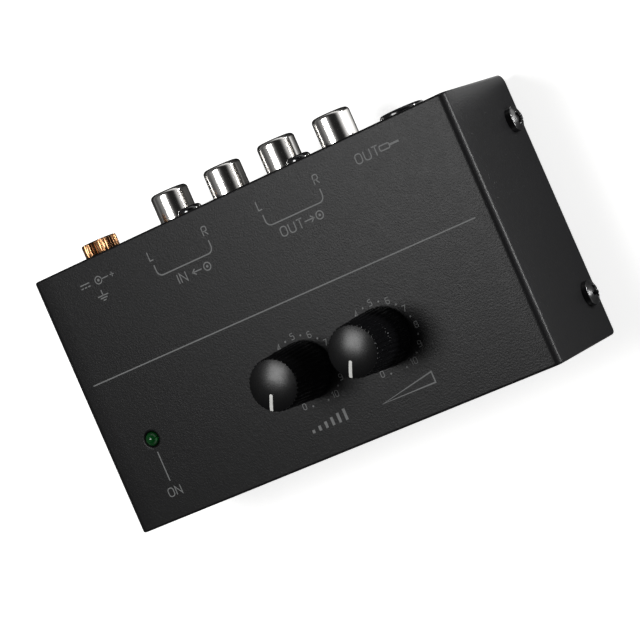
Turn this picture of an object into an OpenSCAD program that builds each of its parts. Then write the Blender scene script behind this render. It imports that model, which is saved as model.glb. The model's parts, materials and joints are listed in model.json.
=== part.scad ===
// Phono preamp: a small folded steel case with two dials on top and its sockets at the back.
// z = 0 is the table, +X is to the right, +Y is the back, and the origin is the middle
// of the footprint. Inside the modules, x and y are counted from the middle of the case.

/* [Case] */
// Width of the cover, from end to end
case_w = 104; // [102:0.5:130]
// Depth of the cover, from front edge to back edge
case_d = 57.5; // [56:0.5:70]
// Height of the cover, from its lower edge to its top face
cover_h = 31.1; // [29:0.1:36]
// Thickness of the sheet steel
sheet = 1; // [0.8:0.1:1.2]
// Outside radius of the bends in the sheet
bend_r = 1.5; // [1.4:0.1:2.5]
// Radius of the lower corners of the cover's ends, at the back
corner_back_r = 2.2; // [0.5:0.1:4]
// Radius of the lower corners of the cover's ends, at the front
corner_front_r = 1; // [0.5:0.1:4]
// How far the front and back walls stand inside the cover's edges
panel_inset = 0.5; // [0.2:0.1:1.5]
// Gap between the cover and the tray inside it
cover_gap = 0.2; // [0.1:0.05:0.4]
// Width of each side tab of the tray
tab_w = 13; // [9:0.5:16]
// Height of each side tab of the tray
tab_h = 11; // [9:0.5:16]
// Gap cut beside each tab so that it can be bent
tab_relief = 0.6; // [0.3:0.1:1]

/* [Feet] */
// Diameter of each rubber foot
foot_d = 9; // [6:0.5:12]
// Height of each rubber foot
foot_h = 2.5; // [1:0.1:5]
// Distance of the feet from the cover's ends
foot_inset = 9; // [6.5:0.5:16]
// Distance of the feet from the middle, to front and back
foot_y = 20; // [12:0.5:22]

/* [Cover screws] */
// Distance of the screws from the middle of each end
cover_screw_y = 19.1; // [12:0.1:20]
// Height of the screws above the cover's lower edge
cover_screw_z = 5.3; // [4.2:0.1:7]
// Thread diameter of the cover screws
cover_screw_d = 3; // [2.5:0.1:3.5]
// Length of the cover screws under the head
cover_screw_l = 5; // [4:0.5:6]
// Head diameter of the cover screws
cover_screw_head_d = 5.4; // [4.8:0.1:6]
// Head height of the cover screws
cover_screw_head_h = 2; // [1.4:0.1:2.4]

/* [Board] */
// Gap between the circuit board's ends and the tray's side tabs
board_gap = 1.3; // [0.8:0.1:2]
// Distance of the board's front edge from the middle
board_front = 25.5; // [24:0.1:26]
// Distance of the board's back edge from the middle
board_back = 26.6; // [25.5:0.1:26.8]
// Thickness of the board
board_t = 1.6; // [1:0.1:2]
// Length of the spacers under the board
spacer_h = 3; // [2.5:0.1:5]
// Diameter of the spacers
spacer_d = 5.5; // [5:0.1:6]
// Distance of the spacers from the board's ends
spacer_inset = 4.9; // [4.8:0.1:6]
// Distance of the front spacers from the board's front edge
spacer_front = 5; // [4:0.1:8]
// Distance between the front and the back spacers
spacer_pitch = 15.5; // [14:0.1:15.5]
// Thread diameter of the board screws
board_screw_d = 2.5; // [2:0.1:3]
// Length of the board screws under the head
board_screw_l = 4; // [3:0.1:4.2]
// Head diameter of the board screws
board_screw_head_d = 4.6; // [4:0.1:5.2]
// Head height of the board screws
board_screw_head_h = 1.7; // [1.2:0.1:2]

/* [Dials] */
// Place of the level dial, to the right of the middle
level_x = 0; // [-3:0.1:2]
// Place of the volume dial, to the right of the middle
volume_x = 19.2; // [18:0.1:20]
// Place of both dials in front of the middle
dial_y = -10.4; // [-12:0.05:-10]
// Turn of a dial from stop to stop, in degrees
turn_deg = 300; // [270:5:320]
// Height of a knob, from its lower edge to the top of its dome
knob_h = 15.4; // [13:0.1:17]
// Gap under a knob
knob_gap = 0.5; // [0.3:0.1:1.5]
// Diameter of the holes in the cover for the shafts
shaft_window_d = 7.4; // [6.6:0.1:9]
// Diameter of a knob at its lower edge
knob_base_d = 12.4; // [12:0.1:14]
// Diameter of a knob at its rim, below the dome
knob_rim_d = 11.1; // [10.2:0.1:12]
// Height of the dome above the rim
knob_dome_h = 0.9; // [0.5:0.1:1.5]
// Number of grooves round a knob
knob_grooves = 36; // [24:1:38]
// Depth of the grooves
groove_depth = 0.3; // [0.15:0.05:0.4]
// Radius of the cutter of the grooves
groove_r = 0.45; // [0.42:0.01:0.5]
// Diameter of the hub inside a knob
knob_hub_d = 8.2; // [7.6:0.1:8.6]
// Thickness of a knob's wall at its lower edge
knob_wall = 1.1; // [0.9:0.1:1.4]
// Depth of the hollow round the hub
knob_hollow = 8; // [4:0.5:9]
// Width of the pointer line
pointer_w = 0.7; // [0.6:0.05:1.4]
// Distance of the pointer's inner end from the dial's axis
pointer_start = 2; // [1:0.1:3]
// Depth of the pointer in the knob
pointer_depth = 0.8; // [0.4:0.1:1.2]

/* [Potentiometers] */
// Width of a potentiometer's housing
pot_w = 9.8; // [9.6:0.1:10.4]
// Distance from the shaft to the housing's front
pot_front = 5; // [4.9:0.1:5.4]
// Distance from the shaft to the housing's back
pot_back = 6; // [5:0.1:6.2]
// Height of the housing above the board
pot_h = 12.5; // [12:0.1:14]
// Diameter of the bush on the housing
bush_d = 7; // [7:0.1:8]
// Height of the bush
bush_h = 5; // [3:0.1:6]
// Diameter of the shaft
shaft_d = 6; // [5.8:0.1:6.2]
// Depth of the flat on the shaft
shaft_flat = 1.5; // [1:0.1:1.8]
// Length of the shaft above the housing
shaft_l = 25; // [22:0.5:26]
// Diameter of the thin end of the shaft, inside the housing
journal_d = 3; // [2.5:0.1:3.5]
// Thickness of the housing under the shaft's thin end
pot_floor = 1; // [0.8:0.1:1.2]
// Diameter of the chambers in the housing
chamber_d = 8.8; // [8.4:0.1:9]
// Height of each chamber
chamber_h = 2.8; // [2.6:0.1:3]
// Height of the lower chamber's floor above the board
chamber_floor = 1.8; // [1.6:0.1:2.2]
// Distance between the floors of the two chambers
chamber_pitch = 4.8; // [4.6:0.1:5]
// Thickness of the resistance tracks
track_t = 0.5; // [0.3:0.1:0.6]
// Gap between the tracks and the shaft
track_gap = 0.4; // [0.2:0.1:0.6]
// Thickness of the wiper discs
wiper_t = 1; // [0.8:0.1:1.2]
// Diameter of the wiper discs
wiper_d = 7.4; // [7:0.1:7.6]
// Height of the wiper discs above the tracks
wiper_lift = 0.35; // [0.2:0.05:0.5]
// Spacing of the pins
pin_pitch = 2.5; // [2:0.1:2.8]
// Distance from the housing's front to the first row of pins
pin_row = 1.6; // [1.2:0.1:2]
// Distance between the two rows of pins
pin_row_pitch = 2.5; // [2:0.1:2.8]

/* [Lamp] */
// Place of the lamp, to the left of the middle
led_x = -40.3; // [-41:0.1:-39]
// Place of the lamp in front of the middle
led_y = -11.1; // [-12:0.1:-10]
// Diameter of the lamp
led_d = 3; // [2.8:0.1:3.2]
// Height of the lamp, from its flange to the top of its dome
led_h = 5.3; // [5:0.1:6]
// Diameter of the lamp's flange
led_flange_d = 3.8; // [3.6:0.1:4]
// Height of the lamp's flange
led_flange_h = 1; // [0.8:0.1:1.2]
// How far the dome stands above the cover
led_reach = 1; // [0.5:0.1:1.5]
// Diameter of the spacer under the lamp
led_spacer_d = 4.8; // [4.4:0.1:5.2]
// Distance between the lamp's leads
led_pitch = 2.54; // [2.3:0.01:2.6]

/* [Phono sockets] */
// Distance between the sockets of a pair
phono_pitch = 14; // [13.5:0.1:14.5]
// Place of the middle of the input pair
input_x = -15.9; // [-16.2:0.1:-15.6]
// Place of the middle of the output pair
output_x = 12.1; // [11.8:0.1:12.4]
// Height of the socket axes above the board
phono_axis_h = 7.9; // [7.6:0.1:9]
// Diameter of the outer barrel
barrel_d = 8.3; // [8.1:0.05:8.5]
// How far the barrels stand out of the back wall
barrel_reach = 7.4; // [7:0.1:9]
// Length of a barrel inside the back wall's outer face
barrel_seat = 7.75; // [6:0.05:8]
// Diameter of a barrel where it sits in the block
barrel_root_d = 7.9; // [7.8:0.05:8.05]
// Wall of a barrel
barrel_wall = 0.55; // [0.4:0.05:0.7]
// Thickness of the lip at a barrel's mouth
barrel_lip = 0.6; // [0.4:0.1:0.9]
// Radius of the rounded edge at a barrel's mouth
barrel_edge = 0.9; // [0.4:0.1:1.2]
// Diameter of the opening in a barrel's mouth
barrel_mouth_d = 6.5; // [6:0.1:6.6]
// Outer diameter of the centre contact
contact_d = 4.2; // [4:0.05:4.4]
// Diameter of the hole in the centre contact
contact_hole_d = 3.3; // [3.2:0.05:3.4]
// Depth of the hole in the centre contact
contact_depth = 10; // [8:0.5:11]
// How far the centre contact lies behind the barrel's mouth
contact_inset = 1.6; // [1.4:0.1:2]
// Width of a jack block
block_w = 24.6; // [24:0.1:26]
// Depth of a jack block
block_l = 11.75; // [11:0.05:12.5]
// Height of a jack block above the board
block_h = 15.9; // [15:0.1:16.5]
// Height of the block's screw above the socket axes
block_screw_h = 7; // [6.8:0.1:7.2]
// Width of the tower that takes the screw
tower_w = 8; // [7:0.1:9]
// Height of the tower above the board
tower_h = 18.4; // [18.2:0.1:19]
// Diameter of the collars that fill the wall's holes
collar_d = 9.7; // [9.4:0.1:10.2]
// Thread diameter of the block screws
block_screw_d = 2.6; // [2.2:0.1:3]
// Length of the block screws under the head
block_screw_l = 9; // [6:0.5:10]
// Head diameter of the block screws
block_screw_head_d = 5.2; // [4.4:0.1:5.6]
// Head height of the block screws
block_screw_head_h = 2; // [1.4:0.1:2.2]
// Width of the solder tabs
solder_tab_w = 1.2; // [1:0.1:1.4]
// Thickness of the solder tabs
solder_tab_t = 0.4; // [0.3:0.1:0.5]

/* [Phone jack] */
// Place of the phone jack, to the right of the middle
phone_x = 34.35; // [33.5:0.05:34.5]
// Diameter of the nose that stands out of the back wall
nose_d = 9.7; // [9.4:0.1:10.4]
// How far the nose stands out of the back wall
nose_reach = 2.05; // [1.5:0.05:3]
// Radius of the rounded edge of the nose
nose_edge = 0.6; // [0.2:0.1:0.7]
// How far the sleeve contact ends inside the nose
nose_rim = 0.3; // [0.1:0.1:0.6]
// Diameter of the plug hole
plug_hole_d = 6.5; // [6.4:0.05:6.6]
// Outer diameter of the sleeve contact
sleeve_d = 8; // [7.6:0.1:8.2]
// Length of the sleeve contact
sleeve_l = 8; // [6:0.5:10]
// Diameter of the channel behind the sleeve contact
channel_d = 7.2; // [7:0.1:7.4]
// Width of the jack's housing
phone_w = 15.6; // [15:0.1:16]
// Height of the jack's housing above the board
phone_h = 15.8; // [15.5:0.1:17]
// Depth of the jack's housing
phone_l = 29.5; // [29:0.5:30.5]
// Thickness of the jack's back wall
phone_wall = 1.5; // [1:0.1:2]
// Distance from the plug hole's mouth to the tip contact
tip_depth = 28; // [27:0.1:28.5]
// Distance from the plug hole's mouth to the ring contact
ring_depth = 20; // [19:0.1:21]
// Width of the contact springs
spring_w = 3; // [2.5:0.1:3.4]
// Length of the contact springs
spring_l = 7; // [6:0.5:8]
// How far a spring's bump reaches from the channel's wall
bump = 0.9; // [0.5:0.1:1.1]

/* [Power inlet] */
// Place of the power inlet, left of the middle
inlet_x = -37.1; // [-37.6:0.1:-37]
// Width of the inlet's housing
inlet_w = 9; // [8.8:0.1:9.2]
// Height of the inlet's housing above the board
inlet_h = 11; // [10.5:0.1:11.5]
// Depth of the inlet's housing
inlet_l = 14.2; // [13:0.1:15]
// Height of the inlet's axis above the board
inlet_axis_h = 6.5; // [6:0.1:6.8]
// Diameter of the inlet's hole
inlet_hole_d = 6.3; // [6:0.1:6.6]
// Depth of the inlet's hole
inlet_depth = 9.5; // [9:0.1:10]
// Diameter of the inlet's centre pin
inlet_pin_d = 2.1; // [1.9:0.1:2.5]
// Diameter of the centre pin where it sits in the housing
inlet_root_d = 1.7; // [1.2:0.1:1.8]
// How far the centre pin ends inside the housing's face
inlet_pin_inset = 1; // [0.5:0.1:1.5]
// Diameter of the hole for the plug in the back wall
inlet_window_d = 7.6; // [7.4:0.1:8]

/* [Ground terminal] */
// Place of the ground terminal, left of the middle
ground_x = -37.1; // [-37.6:0.1:-36.5]
// Height of the ground terminal above the board
ground_h = 18.5; // [18:0.1:19]
// Thread diameter of the ground screw
ground_screw_d = 4; // [3.5:0.1:4]
// Length of the ground screw under the head
ground_screw_l = 7; // [6.5:0.1:8]
// Diameter of the ground screw's head
thumb_d = 7.8; // [7:0.1:9]
// Height of the ground screw's head
thumb_h = 2.95; // [2.5:0.05:4]
// Number of grooves round the ground screw's head
thumb_grooves = 30; // [20:1:32]
// Depth of those grooves
thumb_groove_depth = 0.25; // [0.1:0.05:0.3]
// Radius of the cutter of those grooves
thumb_groove_r = 0.35; // [0.3:0.01:0.38]
// Diameter of the ground washer
ground_washer_d = 7.2; // [6.5:0.1:8]
// Thickness of the ground washer
ground_washer_t = 0.5; // [0.4:0.1:0.8]
// Width of the ground nut across its flats
ground_nut_w = 7; // [6.5:0.1:7]
// Thickness of the ground nut
ground_nut_t = 3.2; // [2.8:0.1:3.4]
// Width of the ground lug's ring
lug_d = 7.6; // [7:0.1:8]
// Thickness of the ground lug
lug_t = 0.5; // [0.4:0.1:0.6]
// Distance from the screw to the ground link, along the wall
link_offset = 6.3; // [6.2:0.1:6.4]
// Distance from the wall to the ground link
link_inset = 3; // [2:0.1:4]
// Diameter of the ground link
link_d = 0.9; // [0.7:0.1:1]
// Metal of the lug beside the ground link
link_rim = 0.7; // [0.5:0.1:1]
// Width of the lug's arm
lug_arm_w = 2.4; // [1.6:0.1:3]

/* [Small parts] */
// Thickness of a component's lead
lead = 0.6; // [0.4:0.1:0.7]
// How far leads stand out under the board
lead_reach = 1; // [0.5:0.1:1.2]
// Diameter of an electrolytic capacitor
cap_d = 6.3; // [5:0.1:6.4]
// Height of an electrolytic capacitor
cap_h = 11.2; // [7:0.1:12]
// Length of a film capacitor
film_l = 7.2; // [6:0.1:7.4]
// Width of a film capacitor
film_w = 2.5; // [2:0.1:2.8]
// Height of a film capacitor
film_h = 6.5; // [5:0.1:8]
// Length of a resistor's body
res_l = 6; // [5:0.1:6.3]
// Diameter of a resistor's body
res_d = 2.3; // [1.8:0.1:2.4]
// Distance between a resistor's leads
res_pitch = 7.62; // [7.4:0.01:7.8]
// Length of an op amp
chip_l = 9.6; // [9.2:0.1:10]
// Width of an op amp
chip_w = 6.4; // [6:0.1:6.6]
// Height of an op amp above the board
chip_h = 4; // [3.6:0.1:4.4]
// Distance between an op amp's rows of legs
chip_rows = 7.62; // [7.4:0.01:7.8]
// Spacing of an op amp's legs
chip_pitch = 2.54; // [2.4:0.01:2.54]

/* [Fits] */
// Gap round a thread in its hole
thread_gap = 0.03; // [0.02:0.01:0.05]
// Gap round a shaft that turns
running_gap = 0.05; // [0.03:0.01:0.08]
// Gap between pieces that are pushed together
seat_gap = 0.02; // [0.01:0.01:0.05]
// Gap round a pin, nose or collar that passes through the case
pass_gap = 0.1; // [0.05:0.05:0.3]
// Gap round a lead in the board
lead_gap = 0.05; // [0.02:0.01:0.1]
// Gap round the cover screws in the notches of the board
notch_gap = 0.5; // [0.3:0.1:0.6]

/* [Hidden] */
$fn = 48;

// Levels and faces that the pieces share
top_z = foot_h + cover_h;
floor_z = foot_h + sheet;
board_z = floor_z + spacer_h;
deck_z = board_z + board_t;
lead_z = board_z - lead_reach;
wall_y = case_d / 2 - panel_inset;
wall_in = wall_y - sheet;
tray_w = case_w - 2 * sheet - 2 * cover_gap;
tray_h = cover_h - sheet - cover_gap;
board_w = tray_w - 2 * sheet - 2 * board_gap;
spacer_x = board_w / 2 - spacer_inset;
foot_x = case_w / 2 - foot_inset;
jack_z = deck_z + phono_axis_h;
inlet_z = deck_z + inlet_axis_h;
ground_z = deck_z + ground_h;
mouth_y = wall_y + barrel_reach;
nose_y = wall_y + nose_reach;
// The barrels reach furthest back and the cover's edge furthest forward
middle_y = (mouth_y - case_d / 2) / 2;
cut = 1;

left_x = -phono_pitch / 2;
right_x = phono_pitch / 2;
spacer_points = [for (x = [-spacer_x, spacer_x], y = [0, spacer_pitch])
    [x, spacer_front - board_front + y]];

// Places and leads of the small parts on the board
cap_points = [[-37, 3], [-30, 7], [-26, -3], [-30, -13], [-20, -12], [33, -11]];
film_points = [[-8, 4], [-8, 8], [19, 4], [19, 8]];
chip_points = [[-19, 6], [9, 6]];
res_row_start = [-26, 12.2];
res_row_pitch = 8.5;
res_pair_points = [[-17.5, -1.4], [-8.8, -1.4]];
res_points = concat([for (i = [0:5]) res_row_start + [i * res_row_pitch, 0]], res_pair_points);
regulator_point = [-33, -5.5];
regulator_w = 4.6;
regulator_lift = 3;
diode_point = [-29.5, -20.5];
cap_pitch = 2.5;
film_pitch = 5;
stub = 0.8;
axial_lift = 0.1;
diode_l = 5.1;

// Moves a piece from the middle of the case to the middle of the footprint
module in_frame() translate([0, -middle_y, 0]) children();

// Lays a shape that stands along +Z along +Y, at a point
module along_y(x, y, z) translate([x, y, z]) rotate([-90, 0, 0]) children();

// A rectangle from the origin with its first corner rounded
module corner_2d(w, h, r) {
    translate([r, 0]) square([w - r, h]);
    translate([0, r]) square([w, h - r]);
    translate([r, r]) circle(r);
}

// A rectangle round x = 0 that stands on y = 0 with its lower corners rounded
module tub_2d(w, h, r) {
    for (side = [0, 1]) mirror([side, 0]) translate([-w / 2, 0]) corner_2d(w / 2, h, r);
}

// Half a cylinder's section, from the axis outwards, with its upper edge rounded
module round_end_2d(r, h, edge) {
    square([r - edge, h]);
    square([r, h - edge]);
    translate([r - edge, h - edge]) intersection() {
        circle(edge);
        square(edge);
    }
}

// Sheet bent up at both sides
module bent_tub_2d(w, h) difference() {
    tub_2d(w, h, bend_r);
    translate([0, sheet]) tub_2d(w - 2 * sheet, h, bend_r - sheet);
}

// A pan-head screw along +Z with the underside of its head at z = 0
module pan_screw(d, l, head_d, head_h) {
    edge = head_h * 0.45;
    slot_w = head_d * 0.16;
    slot_l = head_d * 0.56;
    slot_depth = head_h * 0.6;
    translate([0, 0, -l]) cylinder(d = d, h = l);
    difference() {
        rotate_extrude() round_end_2d(head_d / 2, head_h, edge);
        for (turn = [0, 90]) rotate([0, 0, turn])
            translate([-slot_l / 2, -slot_w / 2, head_h - slot_depth])
                cube([slot_l, slot_w, slot_depth + cut]);
    }
}

// A tube along +Z
module tube(outer_d, inner_d, h) difference() {
    cylinder(d = outer_d, h = h);
    translate([0, 0, -cut]) cylinder(d = inner_d, h = h + 2 * cut);
}

// A block by its middle in x and y, and by its lowest and highest z
module post(point, w, d, low, high)
    translate([point.x - w / 2, point.y - d / 2, low]) cube([w, d, high - low]);

// Case

module top_cover() color("#333435") in_frame() difference() {
    intersection() {
        translate([0, case_d / 2, top_z]) rotate([-90, 0, 0]) mirror([0, 0, 1])
            linear_extrude(case_d) bent_tub_2d(case_w, cover_h);
        translate([-case_w, 0, top_z]) rotate([0, 90, 0]) rotate([0, 0, 90])
            linear_extrude(2 * case_w) cover_side_2d();
    }
    for (x = [level_x, volume_x]) translate([x, dial_y, top_z - sheet - cut])
        cylinder(d = shaft_window_d, h = sheet + 2 * cut);
    translate([led_x, led_y, top_z - sheet - cut])
        cylinder(d = led_d + 2 * pass_gap, h = sheet + 2 * cut);
    for (side = [-1, 1], y = [-cover_screw_y, cover_screw_y])
        translate([side * case_w / 2, y, foot_h + cover_screw_z]) rotate([0, 90, 0])
            translate([0, 0, -sheet - cut])
                cylinder(d = cover_screw_d + 2 * pass_gap, h = 2 * (sheet + cut));
}

// The cover seen from the side, hanging from y = 0
module cover_side_2d() {
    low = -cover_h;
    front = -case_d / 2;
    translate([front, low]) corner_2d(case_d / 2, cover_h, corner_front_r);
    mirror([1, 0]) translate([front, low]) corner_2d(case_d / 2, cover_h, corner_back_r);
}

module base_tray() color("#2b2c2d") in_frame() {
    root = bend_r + tab_relief;
    difference() {
        union() {
            difference() {
                translate([-tray_w / 2, 0, foot_h]) rotate([90, 0, 90])
                    linear_extrude(tray_w) bent_tub_2d(2 * wall_y, tray_h);
                for (side = [-1, 1], y = [-cover_screw_y, cover_screw_y])
                    post([side * tray_w / 2, y], 2 * root, tab_w + 2 * tab_relief,
                        foot_h - cut, floor_z + cut);
            }
            for (side = [0, 1], y = [-cover_screw_y, cover_screw_y])
                mirror([side, 0, 0]) translate([-tray_w / 2, y + tab_w / 2, foot_h])
                    rotate([90, 0, 0]) linear_extrude(tab_w) difference() {
                        corner_2d(root + sheet, tab_h, bend_r);
                        translate([sheet, sheet]) corner_2d(root + sheet, tab_h, bend_r - sheet);
                    }
        }
        for (side = [-1, 1], y = [-cover_screw_y, cover_screw_y])
            translate([side * tray_w / 2, y, foot_h + cover_screw_z]) rotate([0, 90, 0])
                translate([0, 0, -2 * sheet])
                    cylinder(d = cover_screw_d + 2 * thread_gap, h = 4 * sheet);
        for (pair = [input_x, output_x]) {
            for (x = [left_x, right_x]) wall_hole(pair + x, jack_z, collar_d);
            wall_hole(pair, jack_z + block_screw_h, block_screw_d);
        }
        wall_hole(phone_x, jack_z, nose_d);
        wall_hole(inlet_x, inlet_z, inlet_window_d - 2 * pass_gap);
        wall_hole(ground_x, ground_z, ground_screw_d);
    }
}

// A round hole in the back wall for something of diameter d
module wall_hole(x, z, d) along_y(x, wall_in - cut, z)
    cylinder(d = d + 2 * pass_gap, h = sheet + 2 * cut);

module cover_screws() color("#141414") in_frame()
    for (side = [0, 1], y = [-cover_screw_y, cover_screw_y])
        mirror([side, 0, 0]) translate([case_w / 2, y, foot_h + cover_screw_z])
            rotate([0, 90, 0]) pan_screw(cover_screw_d, cover_screw_l,
                cover_screw_head_d, cover_screw_head_h);

module rubber_feet() color("#1b1b1b") in_frame()
    for (x = [-foot_x, foot_x], y = [-foot_y, foot_y]) translate([x, y, 0])
        cylinder(d1 = foot_d - foot_h * 0.3, d2 = foot_d, h = foot_h);

// Board

module main_board() color("#1f5a34") in_frame() difference() {
    translate([-board_w / 2, -board_front, board_z])
        cube([board_w, board_front + board_back, board_t]);
    for (side = [-1, 1], y = [-cover_screw_y, cover_screw_y])
        post([side * case_w / 2, y], 2 * (cover_screw_l + notch_gap), cover_screw_d + 2 * notch_gap,
            board_z - cut, deck_z + cut);
    for (p = spacer_points) translate([p.x, p.y, board_z - cut])
        cylinder(d = board_screw_d + 2 * pass_gap, h = board_t + 2 * cut);
    for (p = lead_points()) board_hole(p, lead, lead);
    for (p = tab_points()) board_hole(p, solder_tab_w, solder_tab_t);
    for (p = side_tab_points()) board_hole(p, solder_tab_t, solder_tab_w);
    translate([ground_x + link_offset, link_y(), board_z - cut])
        cylinder(d = link_d + 2 * lead_gap, h = board_t + 2 * cut);
}

module board_hole(p, w, d)
    post(p, w + 2 * lead_gap, d + 2 * lead_gap, board_z - cut, deck_z + cut);

// Places of the thin leads, of the tabs that lie across and of those that lie along the board
function lead_points() = concat(
    [for (x = [level_x, volume_x], row = [0, 1], i = [-1:1]) pot_pin(x, row, i)],
    [for (i = [-0.5, 0.5]) [led_x + i * led_pitch, led_y]],
    [for (p = cap_points, i = [-0.5, 0.5]) p + [i * cap_pitch, 0]],
    [for (p = film_points, i = [-0.5, 0.5]) p + [i * film_pitch, 0]],
    [for (p = concat(res_points, [diode_point]), i = [-0.5, 0.5]) p + [i * res_pitch, 0]],
    [for (i = [-1:1]) regulator_point + [i * led_pitch / 2, 0]],
    [for (p = chip_points, i = [-1.5:1.5], j = [-0.5, 0.5])
        p + [i * chip_pitch, j * chip_rows]]);
function tab_points() = concat(
    [for (pair = [input_x, output_x], x = [left_x, right_x]) each
        [[pair + x, signal_tab_y()], [pair + x, earth_tab_y()]]],
    [[inlet_x, inlet_tab_y()], [inlet_x + inlet_spring_x(), inlet_tab_y()]],
    [[phone_x, sleeve_tab_y()]]);
function side_tab_points() = [
    [phone_x - spring_x(), mouth(tip_depth) + spring_l - solder_tab_w],
    [phone_x + spring_x(), mouth(ring_depth) + spring_l - solder_tab_w]];

function pot_pin(x, row, i) =
    [x + i * pin_pitch, dial_y - pot_front - pin_row - row * pin_row_pitch];
function signal_tab_y() = wall_in - block_l - solder_tab_t / 2;
function earth_tab_y() = wall_y - barrel_seat + solder_tab_w;
function inlet_tab_y() = wall_in - inlet_l - solder_tab_t / 2;
function inlet_spring_x() = inlet_hole_d / 2 - solder_tab_w / 2 + solder_tab_t;
function mouth(depth) = nose_y - depth;
function spring_x() = (channel_d + solder_tab_t) / 2;
function sleeve_tab_y() = nose_y - nose_rim - sleeve_l - solder_tab_t / 2;
function link_y() = wall_in - link_inset;

module board_standoffs() color("#b9bcc0") in_frame()
    for (p = spacer_points) translate([p.x, p.y, floor_z])
        tube(spacer_d, board_screw_d + 2 * thread_gap, spacer_h);

module board_screws() color("#c4c7ca") in_frame()
    for (p = spacer_points) translate([p.x, p.y, deck_z])
        pan_screw(board_screw_d, board_screw_l, board_screw_head_d, board_screw_head_h);

// Knobs

knob_z = top_z + knob_gap;
knob_side_h = knob_h - knob_dome_h;
dome_r = (pow(knob_rim_d / 2, 2) + pow(knob_dome_h, 2)) / (2 * knob_dome_h);
knob_lean = atan((knob_base_d - knob_rim_d) / 2 / knob_side_h);
shaft_top = deck_z + pot_h + shaft_l;
flat_x = shaft_d / 2 - shaft_flat;

// The outside of a knob, standing on z = 0
module knob_outside() difference() {
    rotate_extrude() {
        polygon([[0, 0], [knob_base_d / 2, 0], [knob_rim_d / 2, knob_side_h], [0, knob_side_h]]);
        intersection() {
            translate([0, knob_h - dome_r]) circle(dome_r, $fn = 96);
            translate([0, knob_side_h]) square([knob_rim_d / 2, knob_dome_h]);
        }
    }
    for (i = [0:knob_grooves - 1]) rotate([0, 0, i * 360 / knob_grooves])
        translate([knob_base_d / 2 + groove_r - groove_depth, 0, 0]) rotate([0, -knob_lean, 0])
            translate([0, 0, -cut]) cylinder(r = groove_r, h = knob_h + 2 * cut, $fn = 24);
}

// The block that the pointer fills, along +Y
module pointer_cut() translate([0, 0, knob_side_h - pointer_depth]) {
    translate([0, pointer_start, 0]) cylinder(d = pointer_w, h = knob_h);
    translate([-pointer_w / 2, pointer_start, 0]) cube([pointer_w, knob_base_d, knob_h]);
}

// Puts a knob on its dial, with its pointer at the first number
module on_dial(x) in_frame() translate([x, dial_y, knob_z]) rotate([0, 0, turn_deg / 2])
    children();

// A shaft's cross-section with its flat towards +Y
module flat_round(r) difference() {
    circle(r);
    translate([-shaft_d, flat_x + r - shaft_d / 2]) square([2 * shaft_d, shaft_d]);
}

module knob(x) color("#161616") on_dial(x) difference() {
    knob_outside();
    pointer_cut();
    translate([0, 0, -cut]) linear_extrude(shaft_top - knob_z + seat_gap + cut)
        flat_round(shaft_d / 2 + seat_gap);
    translate([0, 0, -cut]) difference() {
        cylinder(d = knob_base_d - 2 * knob_wall - 2 * groove_depth, h = knob_hollow + cut);
        cylinder(d = knob_hub_d, h = knob_hollow + cut);
    }
}

module pointer(x) color("#f2f2f2") on_dial(x) intersection() {
    knob_outside();
    pointer_cut();
}

module level_knob() knob(level_x);
module volume_knob() knob(volume_x);
module level_pointer() pointer(level_x);
module volume_pointer() pointer(volume_x);

// Potentiometers

pot_top = deck_z + pot_h;
track_d = chamber_d - 2 * pass_gap;
shoulder_z = deck_z + chamber_floor + chamber_pitch + chamber_h;
shaft_foot = deck_z + pot_floor;
lug_reach = chamber_d / 2 - 3 * running_gap;
// The lug and the stop share the arc that the dial leaves free, less a degree each
stop_w = wiper_d * sin((360 - turn_deg) / 4 - 1);

module at_dial(x) in_frame() translate([x, dial_y, 0]) children();
function chamber_z(row) = deck_z + chamber_floor + row * chamber_pitch;
// Where a pin's inner end meets the edge of the round track
function pin_end(i) = -sqrt(pow(track_d / 2, 2) - pow(max(0, abs(i) * pin_pitch - lead / 2), 2));

module pot_body(x) color("#2a2d33") at_dial(x) {
    difference() {
        translate([-pot_w / 2, -pot_front, deck_z]) cube([pot_w, pot_front + pot_back, pot_h]);
        translate([0, 0, shaft_foot]) cylinder(d = journal_d + 2 * running_gap, h = pot_h);
        translate([0, 0, shoulder_z]) cylinder(d = shaft_d + 2 * running_gap, h = pot_h);
        for (row = [0, 1]) {
            translate([0, 0, chamber_z(row)]) cylinder(d = chamber_d, h = chamber_h);
            for (i = [-1:1]) translate([i * pin_pitch - lead / 2 - seat_gap, -pot_front - cut,
                chamber_z(row)]) cube([lead + 2 * seat_gap, pot_front + cut + pin_end(i),
                    lead + seat_gap]);
        }
    }
    translate([-stop_w / 2, -chamber_d / 2 - seat_gap, shoulder_z - chamber_h + track_t + wiper_lift])
        cube([stop_w, (chamber_d - wiper_d) / 2 - 2 * running_gap,
            chamber_h - track_t - wiper_lift]);
}

module pot_bush(x) color("#b4b6b9") at_dial(x)
    translate([0, 0, pot_top]) tube(bush_d, shaft_d + 2 * running_gap, bush_h);

module pot_shaft(x) color("#c8cacc") at_dial(x) rotate([0, 0, turn_deg / 2]) {
    translate([0, 0, shaft_foot + running_gap])
        cylinder(d = journal_d, h = shoulder_z - shaft_foot);
    translate([0, 0, shoulder_z + running_gap])
        cylinder(d = shaft_d, h = top_z - shoulder_z - running_gap);
    translate([0, 0, top_z]) linear_extrude(shaft_top - top_z) flat_round(shaft_d / 2);
}

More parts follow.
